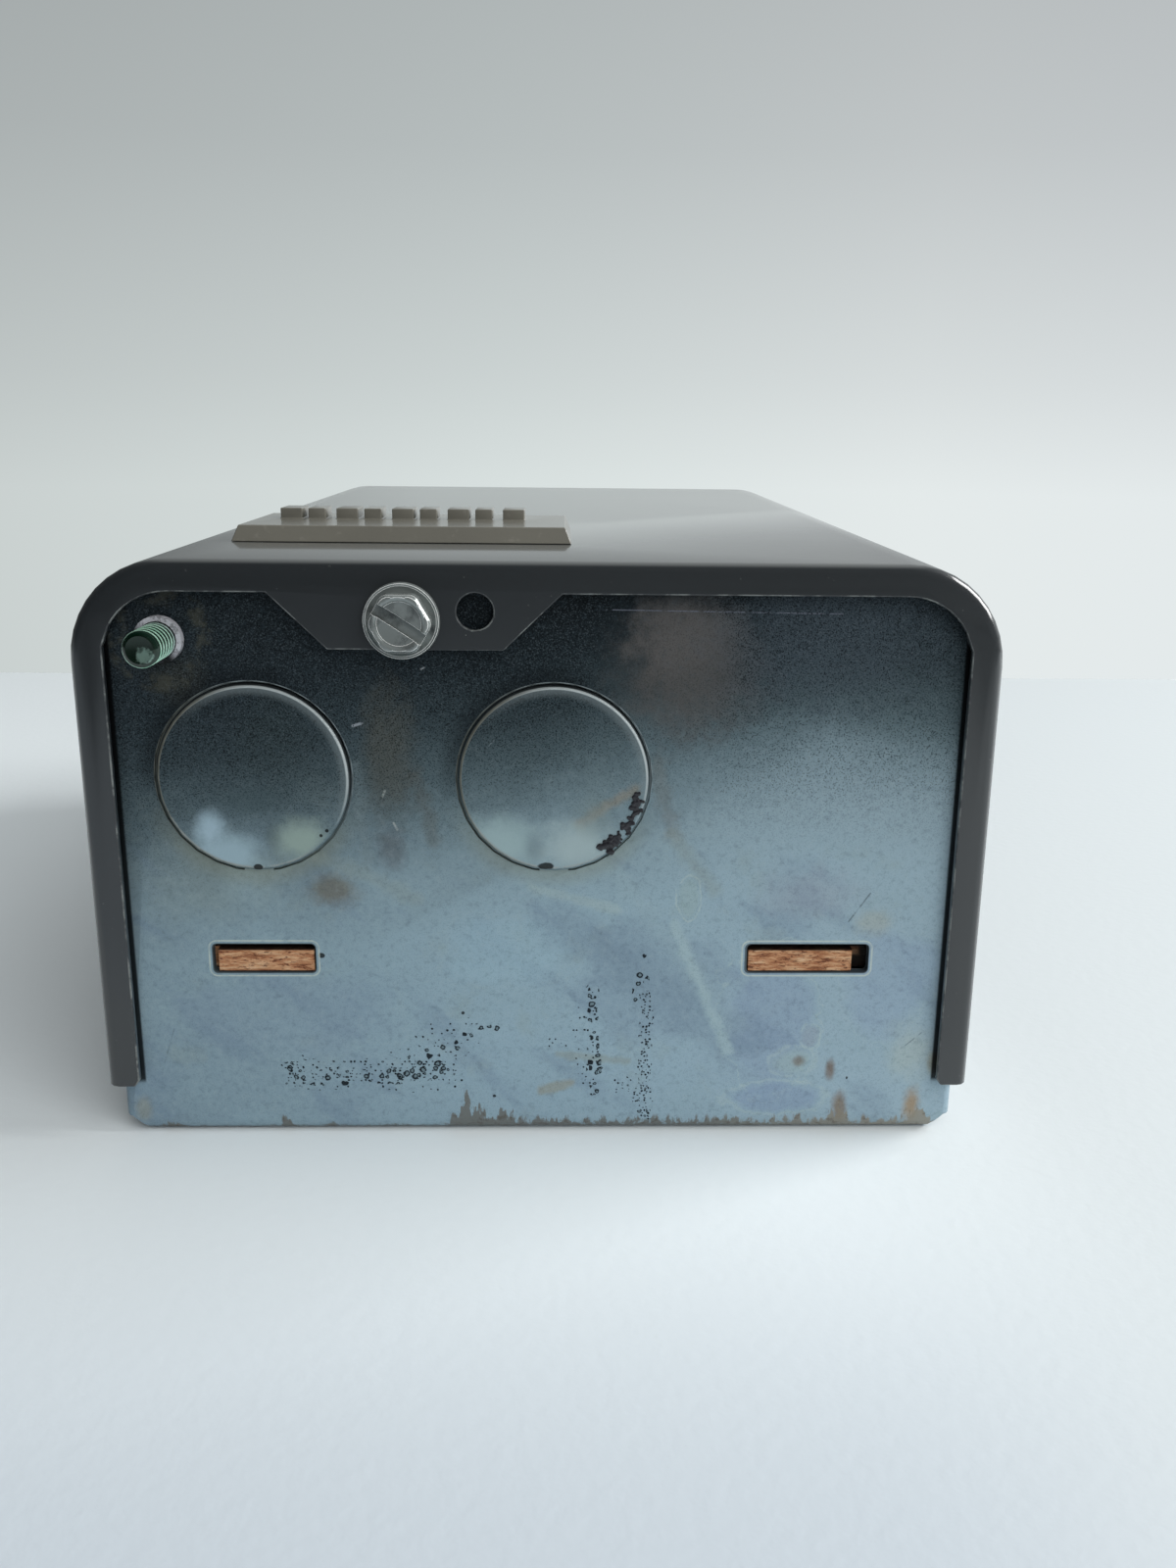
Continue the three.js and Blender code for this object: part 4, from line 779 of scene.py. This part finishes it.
# %% [markdown]
# ## Paint, plastic and plated screws
#
# The cover is baked enamel: dark grey, with the slight waviness that sprayed paint dries with.
# The badge is moulded plastic that has yellowed. The screws are bright zinc, dulled by dirt in
# patches, with a painted highlight along their edges.

# %% Cover paint
COVER_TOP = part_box("cover")[1].z / MM
enamel = Finish("grey_enamel", Specular_IOR_Level=0.15, Coat_Weight=1.0, Coat_Roughness=0.12,
                Coat_IOR=1.6)
enamel.blend(enamel.noise(40), (36, 39, 41), (42, 45, 47))
enamel.paint((150, 150, 146), enamel.patches(0.8, 0.72, 0.8), 0.12)
distance, pick = enamel.cells(4.2)
fleck = enamel.times(enamel.step(distance, enamel.plus(0.02, enamel.times(pick[0], 0.05)), 0),
                     enamel.math("GREATER_THAN", pick[1], 0.55))
enamel.paint((150, 152, 148), fleck)
# Painted sheen: the top face is lighter, where it mirrors the bright wall behind.
enamel.paint((150, 153, 151), enamel.step(enamel.z, COVER_TOP - 0.5, COVER_TOP - 0.05), 0.3)
enamel.set("Roughness", enamel.plus(0.24, enamel.times(enamel.noise(25, detail=3), 0.12)))
enamel.finished(enamel.grit(1.6, 0.02), enamel.times(fleck, 0.03))
# The cover's rounded edges: lighter than the paint as a painted highlight, and worn paler in
# patches.
worn_and_highlit_enamel = Finish("worn_and_highlit_enamel", roughness=0.4)
rub = worn_and_highlit_enamel.patches(2.4, 0.42, 0.62, detail=4, rough=0.7)
worn_and_highlit_enamel.blend(rub, (52, 55, 57), (112, 116, 114))
worn_and_highlit_enamel.finished()
print("enamel nodes:", len(enamel.tree.nodes))

# %% Badge plastic
plastic = Finish("badge_plastic", roughness=0.38, Coat_Weight=0.8, Coat_Roughness=0.16)
plastic.blend(plastic.noise(9, detail=3), (104, 102, 94), (116, 114, 104))
plastic.paint((146, 143, 134), plastic.patches(1.1, 0.6, 0.75, detail=3), 0.25)
plastic.finished(plastic.grit(0.7, 0.015))
print("badge plastic ready")

# %% Metals
def plated(name, bright, dirty, roughness, dirt=0.35, metallic=1.0):
    """A plated metal with a fine brushed grain and dirt in patches."""
    metal = Finish(name, metallic=metallic)
    patch = metal.patches(2.2, 0.5, 0.74, detail=4, rough=0.6)
    metal.blend(metal.times(patch, dirt), bright, dirty)
    metal.set("Roughness", metal.plus(roughness, metal.times(patch, 0.18)))
    return metal.finished(metal.grit(0.5, 0.008))


bright_zinc = plated("bright_zinc", (206, 210, 212), (96, 98, 96), 0.16)
head_zinc = plated("head_zinc", (134, 140, 138), (66, 70, 70), 0.18, dirt=0.9, metallic=0.45)
# Near-white and not metallic: a painted highlight along the screws' rounded edges.
painted_glint_zinc = plated("painted_glint_zinc", (255, 255, 252), (214, 218, 216), 0.3, metallic=0.0)
screw_brass = plated("screw_brass", (196, 162, 88), (120, 88, 44), 0.26)
strip_brass = plated("strip_brass", (186, 152, 84), (116, 92, 56), 0.32)
spring_steel = plated("spring_steel", (150, 154, 158), (70, 72, 74), 0.24)
pole_iron = plated("pole_iron", (112, 116, 120), (58, 56, 54), 0.4)
print("plated metals:", bright_zinc.name, screw_brass.name, strip_brass.name)

# %% Green ground screw
green = Finish("green_zinc", metallic=0.5, roughness=0.16, Coat_Weight=0.6, Coat_Roughness=0.05)
from_axis = green.from_spot(*GROUND_AXIS)
# Painted light and shade on the thread: bright on the crests, dark down to the roots.
crest = green.step(from_axis, 1.92, 2.04)
green.blend(crest, (6, 36, 24), (200, 244, 220))
green.paint((104, 190, 146), green.patches(1.1, 0.48, 0.62, detail=3), crest, 0.4)
on_tip = green.times(green.step(green.y, GROUND_LOW.y + 0.75, GROUND_LOW.y + 0.6),
                     green.step(from_axis, 1.75, 1.6))
green.paint((8, 30, 18), on_tip)
from_patch = green.plus(green.from_spot(GROUND_AXIS[0] + 0.5, GROUND_AXIS[1] - 0.7),
                        green.times(green.noise(0.6, detail=4), 1.6))
green.paint((136, 164, 152), on_tip, green.step(from_patch, 1.9, 1.4), 0.8)
lacquer_gone = green.step(green.y, WALL_Y - 2.6, WALL_Y - 1.4)
green.paint((176, 188, 190), lacquer_gone, crest, 0.8)
green.finished()
print("green lacquer ready")

# %% [markdown]
# ## Board, iron, phenolic, tape and wire
#
# The fibre board is vulcanised paper: its faces are smooth and brown, and its sawn edges show
# the layers as rough orange lines. The transformer's iron shows its sheets in the same way. One
# pattern serves both: noise stretched along the sheet, so that it breaks into thin layers.

# %% Fibre board
BOARD_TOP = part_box("fibre_panel")[1].z / MM
board = Finish("fibre_board", roughness=0.75)
layers = board.noise(0.55, detail=4, rough=0.7, stretch=(0.25, 0.25, 1.6))
fibres = board.noise(0.4, detail=3, rough=0.7)
from_middle = board.math("ABSOLUTE", board.y)
raw_edge = board.step(from_middle, 75.5, 76.2)
board.ramp(layers, [(0.3, (96, 50, 30)), (0.45, (176, 118, 80)), (0.56, (206, 158, 118)),
                    (0.72, (224, 190, 154))])
orange = board.colour
board.blend(board.noise(14, detail=3), (104, 62, 38), (128, 78, 48))
board.colour = board.mix(raw_edge, board.colour, orange)
cracks = board.patches(0.36, 0.46, 0.37, detail=4, rough=0.75, stretch=(0.4, 1, 1.2))
board.paint((84, 36, 20), cracks, raw_edge, 0.85)
pale_fibre = board.patches(0.3, 0.56, 0.68, detail=3, rough=0.7, stretch=(0.6, 1, 1))
board.paint((222, 178, 132), pale_fibre, raw_edge, 0.4)
# Painted shade: the board's top face turns near-black near the wall, where it runs into the slots.
near_top = board.step(board.z, BOARD_TOP - 0.2, BOARD_TOP - 0.02)
board.paint((10, 8, 7), near_top, board.step(from_middle, 70, 74), 0.95)
# Painted shade on the broken end of the right tab: dark brown, near-black below and to its right.
broken_end = board.times(board.step(board.x, 37.5, 37.7), board.step(board.y, -70, -72))
board.paint((52, 30, 18), broken_end, 0.8)
end_shade = board.largest(board.step(board.z, 23.5, 22.9), board.step(board.x, 38.3, 39))
board.paint((8, 6, 5), broken_end, end_shade, 0.95)
board.finished(board.times(layers, raw_edge, 0.5), board.times(fibres, 0.06))
print("board nodes:", len(board.tree.nodes))

# %% Laminations, phenolic, tape and copper
LAMINATION_STEP, TAPE_STEP, TURN_STEP = 0.5, 6.0, 0.42


def repeats(finish, value, length):
    """Runs from 0 to 1 again and again, once in each length in mm."""
    return finish.math("FRACT", finish.math("DIVIDE", value, length))


iron = Finish("lamination_iron", metallic=0.75, roughness=0.45)
sheets = repeats(iron, iron.x, LAMINATION_STEP)
gap = iron.largest(iron.step(sheets, 0.16, 0.04), iron.step(sheets, 0.9, 0.98))
iron.blend(iron.noise(6, detail=3), (66, 66, 70), (92, 84, 80))
iron.paint((24, 22, 22), gap, 0.8)
iron.finished(iron.times(gap, -0.08))

phenolic = Finish("phenolic", roughness=0.34)
phenolic.blend(phenolic.noise(5, detail=5, rough=0.7), (40, 26, 20), (64, 44, 34))
phenolic.finished(phenolic.grit(0.9, 0.012))

tape = Finish("winding_tape", roughness=0.55)
wrap = repeats(tape, tape.plus(tape.z, tape.grit(20, 1.2)), TAPE_STEP)
lap = tape.step(wrap, 0.05, 0)
weave = tape.noise(0.35, detail=1, stretch=(1, 1, 0.3))
tape.blend(tape.noise(8, detail=3), (196, 168, 98), (176, 142, 76))
tape.paint((112, 84, 42), lap, 0.7)
tape.finished(tape.times(lap, -0.15), tape.times(weave, 0.03))

copper = Finish("enamelled_copper", metallic=0.85, roughness=0.28, Coat_Weight=0.5,
                Coat_Roughness=0.1)
turns = repeats(copper, copper.y, TURN_STEP)
round_wire = copper.math("SINE", copper.times(turns, math.pi))
# The turns are painted lit and shaded: bright along the middle of each turn, dark in the groove
# between.
copper.blend(round_wire, (96, 44, 22), (196, 108, 62))
copper.finished(copper.times(round_wire, 0.12))
print("iron, phenolic, tape and copper ready")

# %% Wire insulation
def insulation(name, colour):
    """Soft cotton-covered wire, slightly faded."""
    cover = Finish(name, roughness=0.6)
    faded = [level + 26 for level in colour]
    cover.blend(cover.noise(4, detail=3), colour, faded)
    return cover.finished(cover.grit(0.45, 0.03))


wire_black = insulation("black_insulation", (26, 26, 27))
wire_white = insulation("white_insulation", (196, 192, 182))
wire_yellow = insulation("yellow_insulation", (196, 158, 40))
wire_blue = insulation("blue_insulation", (44, 70, 120))
print("four insulations")

# %% Table top
table = Finish("table_lacquer", roughness=0.55)
table.blend(table.noise(160, detail=3), (232, 239, 241), (237, 244, 246))
# Painted shade: the table is darker towards the near side and on the right.
table.paint((197, 206, 213), table.step(table.y, -80, -150))
table.paint((212, 219, 221), table.step(table.x, 25, 75), 0.9)
# Painted reflection: in shiny pieces the table's near part shows dark, standing in for the dark room
# in front.
mirrored = table.node("ShaderNodeLightPath").outputs["Is Glossy Ray"]
table.paint((20, 22, 24), mirrored, table.step(table.y, -200, -520), 0.85)
floor_mesh.materials.append(table.finished(table.grit(1.8, 0.05)))
print("table lacquered")

# %% [markdown]
# ## Pieces carried over, with their edges eased
#
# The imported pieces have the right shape, but their meshes are loose triangles with knife edges,
# and a knife edge catches no light. Each is copied, its doubles are merged and its flat faces
# made whole, and the edges get a small round. Remodelling each would give the same shape with
# more ways to go wrong.

# %% Easing helper
DOUBLES = 0.002  # corners closer than this, in mm, are one
FLAT_DEGREES = 0.5  # faces that meet at less than this are one
ROUNDED_DEGREES = 35  # edges sharper than this get a round


def eased(node, name, finish, slot, edge, **finishes):
    """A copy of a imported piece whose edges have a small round; it takes the piece's place."""
    shape = bmesh.new()
    shape.from_mesh(frame["nodes"][node].data)
    bmesh.ops.remove_doubles(shape, verts=shape.verts, dist=DOUBLES * MM)
    bmesh.ops.dissolve_limit(shape, angle_limit=math.radians(FLAT_DEGREES), verts=shape.verts,
                             edges=shape.edges)
    bmesh.ops.recalc_face_normals(shape, faces=shape.faces)
    settle(shape, name, finish, slot, node, edge, **finishes)


def settle(shape, name, finish, slot, node, edge=0, smooth=40, more=(), edge_finish=-1):
    """Makes a shape a piece: its finishes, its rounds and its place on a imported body."""
    mesh = to_mesh(shape, name)
    for coat in (finish, *more):
        mesh.materials.append(coat)
    mesh.shade_smooth()
    mesh.set_sharp_from_angle(angle=math.radians(smooth))
    made = placed(name, mesh)
    if edge:
        round_edge = made.modifiers.new("round_edge", "BEVEL")
        round_edge.width = edge * MM
        round_edge.segments = 2
        round_edge.limit_method = "ANGLE"
        round_edge.angle_limit = math.radians(ROUNDED_DEGREES)
        round_edge.harden_normals = True
        round_edge.use_clamp_overlap = True
        round_edge.material = edge_finish
    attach(made, frame["nodes"][node]["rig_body"])
    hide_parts(node)


print("easing helper ready")

# %% Pan and cover
eased("base_pan", "folded_pan", pan.material, "zinc_plate", edge=0.1)
eased("cover", "painted_cover", enamel.material, "grey_paint", edge=0.18,
      more=(worn_and_highlit_enamel.material,), edge_finish=1)
eased("badge", "moulded_badge", plastic.material, "badge_plastic", edge=0.15)
print("pan, cover and badge in place")

# %% [markdown]
# ## Cover screws
#
# Each is a number 8 screw with a slotted hexagon head on its own washer. The head is cold formed:
# its top is a little dished inside a rim, and the corners are soft. The loops of such a form
# change from hexagon to circle, which a cone can't do, so rings of one vertex count are stacked
# and bridged. The slot could be a boolean. Here the top is cut in two by planes instead, which
# keeps its edges clean.

# %% Screw helpers
ROUND = 48


def ring(shape, radius_at, height):
    """A closed ring of ROUND vertices round Z, its radius given for each angle."""
    made = bmesh.ops.create_circle(shape, segments=ROUND, radius=1.0)["verts"]
    for vert in made:
        angle = math.atan2(vert.co.y, vert.co.x)
        radius = radius_at(angle) * MM
        vert.co = Vector((radius * math.cos(angle), radius * math.sin(angle), height * MM))
    return list(dict.fromkeys(edge for vert in made for edge in vert.link_edges))


def stacked(levels):
    """A closed solid of bridged rings, from (radius or radius by angle, height) pairs."""
    shape = bmesh.new()
    rings = [ring(shape, r if callable(r) else (lambda angle, r=r: r), h) for r, h in levels]
    for low, high in zip(rings, rings[1:]):
        bmesh.ops.bridge_loops(shape, edges=low + high)
    for end in (rings[0], rings[-1]):
        bmesh.ops.edgeloop_fill(shape, edges=end)
    bmesh.ops.recalc_face_normals(shape, faces=shape.faces)
    return shape


def hexagon(across_flats, corner):
    """Radius by angle of a hexagon whose corners are rounded off at a radius."""
    def radius_at(angle):
        from_flat = (angle % (math.pi / 3)) - math.pi / 6
        return min(across_flats / 2 / math.cos(from_flat), corner)

    return radius_at


def keep_side(shape, point, normal):
    """Cuts a solid by a plane, drops what is on the normal's side and closes the cut."""
    found = bmesh.ops.bisect_plane(shape, geom=shape.verts[:] + shape.edges[:] + shape.faces[:],
                                   dist=0.0, plane_co=Vector(point) * MM,
                                   plane_no=normal, clear_outer=True)
    rim = [g for g in found["geom_cut"] if isinstance(g, bmesh.types.BMEdge)]
    bmesh.ops.edgeloop_fill(shape, edges=rim)


def merged(*shapes):
    """Several closed shapes in one mesh."""
    mesh = bpy.data.meshes.new("part")
    whole = bmesh.new()
    for shape in shapes:
        shape.to_mesh(mesh)
        whole.from_mesh(mesh)
        shape.free()
    bpy.data.meshes.remove(mesh)
    return whole


print("a ring has", ROUND, "vertices")

# %% Hexagon washer head
HEAD = {"across": 6.35, "corner": 3.5, "washer": 4.3, "top": 3.05, "slot_floor": 1.95,
        "slot_half": 0.66}
EDGE = 1  # place of the finish that the rounded edges take


def washer_head_screw(length, slot_turn):
    """The whole screw along Z, its washer seated on z = 0."""
    rim, top, slot_floor = HEAD["washer"], HEAD["top"], HEAD["slot_floor"]
    hexed = hexagon(HEAD["across"], HEAD["corner"])
    shrunk = hexagon(HEAD["across"] * 0.93, HEAD["corner"] * 0.92)
    washer = stacked([(rim - 0.25, 0), (rim, 0.2), (rim, 0.6), (rim - 0.14, 0.84),
                      (rim - 0.38, 0.82), (rim - 0.62, 0.62), (3.3, 0.58)])
    stem = stacked([(hexed, 0.5), (hexed, slot_floor), (2.0, slot_floor + 0.001)])
    shank = stacked([(1.5, -length), (2.0, -length + 0.5), (2.0, 0.3)])
    halves = []
    across = Vector((-math.sin(slot_turn), math.cos(slot_turn), 0))
    for side in (-1, 1):
        crown = stacked([(hexed, slot_floor - 0.05), (hexed, top - 0.32), (shrunk, top - 0.04),
                         (2.95, top), (2.72, top - 0.03), (2.56, top - 0.16), (2.44, top - 0.42),
                         (1.4, top - 0.46)])
        keep_side(crown, across * side * HEAD["slot_half"], -across * side)
        halves.append(crown)
    return merged(washer, stem, shank, *halves)


for end, facing, slot_turn in (("near", 1, math.radians(-33)), ("far", -1, 0.0)):
    screw = washer_head_screw(8.0, slot_turn)
    screw.transform(Matrix.Rotation(facing * math.pi / 2, 4, "X"))
    low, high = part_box("cover_screw_" + end)
    seat = (low + high) / 2
    seat.y = (low.y if facing > 0 else high.y) + facing * HEAD["top"] * MM
    screw.transform(Matrix.Translation(seat))
    settle(screw, "washer_head_screw_" + end, head_zinc, "bright_zinc", "cover_screw_" + end,
           edge=0.18, more=(painted_glint_zinc,), edge_finish=EDGE)
print("two washer head screws")

# %% [markdown]
# ## Ground screw
#
# The ground screw goes through the wall from inside, so its thread shows. A thread is one tooth's
# outline swept round and along at once. The spin operator does both, and two plane cuts make the
# ends flat.

# %% Thread
THREAD = {"pitch": 1.0, "crest": 2.05, "root": 1.62, "steps": 28}


def threaded_rod(length):
    """A rod along Z with a real helical thread, from z = 0 to z = length."""
    pitch, crest, root, steps = THREAD.values()
    shape = bmesh.new()
    tooth = [(root, 0.0), (root, 0.14), (crest, 0.44), (crest, 0.56), (root, 0.86), (root, 1.0)]
    verts = [shape.verts.new((r * MM, 0, h * pitch * MM)) for r, h in tooth]
    edges = [shape.edges.new(pair) for pair in zip(verts, verts[1:])]
    turns = math.ceil(length / pitch) + 2
    bmesh.ops.spin(shape, geom=verts + edges, cent=(0, 0, 0), axis=(0, 0, 1),
                   dvec=(0, 0, pitch * MM / steps), angle=2 * math.pi * turns, steps=steps * turns)
    bmesh.ops.translate(shape, verts=shape.verts, vec=(0, 0, -pitch * MM * 1.5))
    bmesh.ops.remove_doubles(shape, verts=shape.verts, dist=0.01 * MM)
    bmesh.ops.recalc_face_normals(shape, faces=shape.faces)
    keep_side(shape, (0, 0, length), (0, 0, 1))
    keep_side(shape, (0, 0, 0), (0, 0, -1))
    return shape


reach = GROUND_HIGH.y - GROUND_LOW.y - HEAD["top"]
TIP_LENGTH = 0.55
rod = threaded_rod(reach - TIP_LENGTH + 0.1)
tip = stacked([(1.9, 0), (1.95, 0.15), (1.62, 0.5), (1.5, TIP_LENGTH), (0.9, 0.46)])
tip.transform(Matrix.Translation((0, 0, (reach - TIP_LENGTH) * MM)))
ground_head = washer_head_screw(0.6, 0.3)
ground_head.transform(Matrix.Rotation(math.pi, 4, "X"))
ground = merged(rod, tip, ground_head)
ground.transform(Matrix.Rotation(math.pi / 2, 4, "X"))
seat = (GROUND_AXIS[0], GROUND_HIGH.y - HEAD["top"], GROUND_AXIS[1])
ground.transform(Matrix.Translation(Vector(seat) * MM))
settle(ground, "threaded_ground_screw", green.material, "green_zinc", "ground_screw", smooth=30)
print("ground screw reaches", round(reach, 1), "mm through the wall")

# %% [markdown]
# ## Tar on the knockout
#
# Old sealing tar has caught on the right knockout's lower rim. Many small balls are scattered
# along its path and melted together by a fine voxel remesh, which is how a smear of lumps can be
# made without shaping each one.

# %% Tar
TAR_PATH = [  # x, z, radius
    (11.1, 44, 0.5), (11.25, 42.8, 0.62), (11, 41.7, 0.55), (10.6, 40.8, 0.45), (10.1, 40.1, 0.5),
    (9.3, 39.1, 0.5), (8.6, 38.3, 0.55), (7.9, 37.6, 0.75), (7.1, 37.3, 0.7),
]
BALLS_A_STRETCH = 13
VOXEL = 0.09
DENT = 0.07
random.seed(7)
tar = bmesh.new()
wall_face = WALL_Y - 0.5
for start, end in zip(TAR_PATH, TAR_PATH[1:]):
    for _ in range(BALLS_A_STRETCH):
        share = random.random()
        x, z, radius = (a + (b - a) * share for a, b in zip(start, end))
        x += random.gauss(0, radius * 0.55)
        z += random.gauss(0, radius * 0.55)
        size = radius * random.uniform(0.25, 0.62)
        ball = bmesh.ops.create_icosphere(tar, subdivisions=2, radius=size * MM)["verts"]
        bmesh.ops.scale(tar, vec=(1, 0.5, 1), verts=ball)
        bmesh.ops.translate(tar, vec=Vector((x, wall_face - size * 0.2, z)) * MM, verts=ball)
tar_holder = placed("tar_lumps", to_mesh(tar, "tar_lumps"))
melt = tar_holder.modifiers.new("melt", "REMESH")
melt.mode = "VOXEL"
melt.voxel_size = VOXEL * MM
graph = bpy.context.evaluated_depsgraph_get()
melted = bpy.data.meshes.new_from_object(tar_holder.evaluated_get(graph))
bpy.data.objects.remove(tar_holder)
for vert in melted.vertices:
    vert.co += vert.normal * DENT * MM * noise.noise(vert.co / MM * 2.6)

tar_finish = Finish("old_tar", roughness=0.3)
tar_finish.blend(tar_finish.noise(0.8, detail=3), (16, 16, 18), (44, 44, 50))
melted.materials.append(tar_finish.finished(tar_finish.grit(0.3, 0.08)))
melted.shade_smooth()
tar_piece = placed("knockout_tar", melted)
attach(tar_piece, frame["nodes"]["base_pan"]["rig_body"])
print("tar has", len(melted.polygons), "faces")

# %% The rest
BRACKET, BRIGHT = (bracket_zinc, "zinc_plate"), (bright_zinc, "bright_zinc")
PHENOLIC, POLE = (phenolic.material, "phenolic"), (pole_iron, "lamination_iron")
SCREW, STRIP = (screw_brass, "terminal_brass"), (strip_brass, "terminal_brass")
SPRING = (spring_steel, "spring_steel")


def counted(kind, count):
    """The names of nodes that differ only in their number."""
    return [f"{kind}_{i + 1}" for i in range(count)]


GROUPS = [  # nodes, finish and slot, rounding of the edges in mm
    (["fibre_panel", "barrier"], (board.material, "fibre_board"), 0.1),
    (["transformer_core"], (iron.material, "lamination_iron"), 0.1),
    (["transformer_bobbin"], PHENOLIC, 0.1),
    (["transformer_winding"], (tape.material, "winding_tape"), 0.3),
    (["transformer_strap"], BRACKET, 0.12),
    (["relay_frame"], BRACKET, 0.15),
    (["relay_pole"], POLE, 0.1),
    (["relay_bobbin"], PHENOLIC, 0.1),
    (["relay_coil"], (copper.material, "enamelled_copper"), 0.1),
    (["pivot_pin"], BRIGHT, 0.1),
    (["return_spring"], SPRING, 0),
    (["armature"], POLE, 0.12),
    (["contact_carrier"], PHENOLIC, 0.1),
    (["contact_bridge", "fixed_contact_left", "fixed_contact_right"], STRIP, 0.1),
    (["low_voltage_block"], PHENOLIC, 0.12),
    (["primary_lead_black"], (wire_black, "black_insulation"), 0),
    (["primary_lead_white"], (wire_white, "white_insulation"), 0),
    (counted("secondary_lead", 2), (wire_yellow, "yellow_insulation"), 0),
    (["coil_lead_1"], (wire_blue, "blue_insulation"), 0),
    (counted("badge_clip", 2), SPRING, 0.05),
    (counted("panel_post", 2), BRIGHT, 0.1),
    (counted("panel_screw", 2) + counted("strap_screw", 2), BRIGHT, 0.08),
    (counted("relay_screw", 2) + counted("block_screw", 2), BRIGHT, 0.08),
    (counted("line_screw", 4), SCREW, 0.08),
    (counted("line_plate", 2), STRIP, 0.08),
    (counted("low_voltage_screw", 4), SCREW, 0.08),
    (counted("low_voltage_plate", 4), STRIP, 0.06),
]
for nodes, coat, edge in GROUPS:
    for node in nodes:
        eased(node, node + "_eased", *coat, edge)
print(sum(len(group[0]) for group in GROUPS), "more pieces eased")
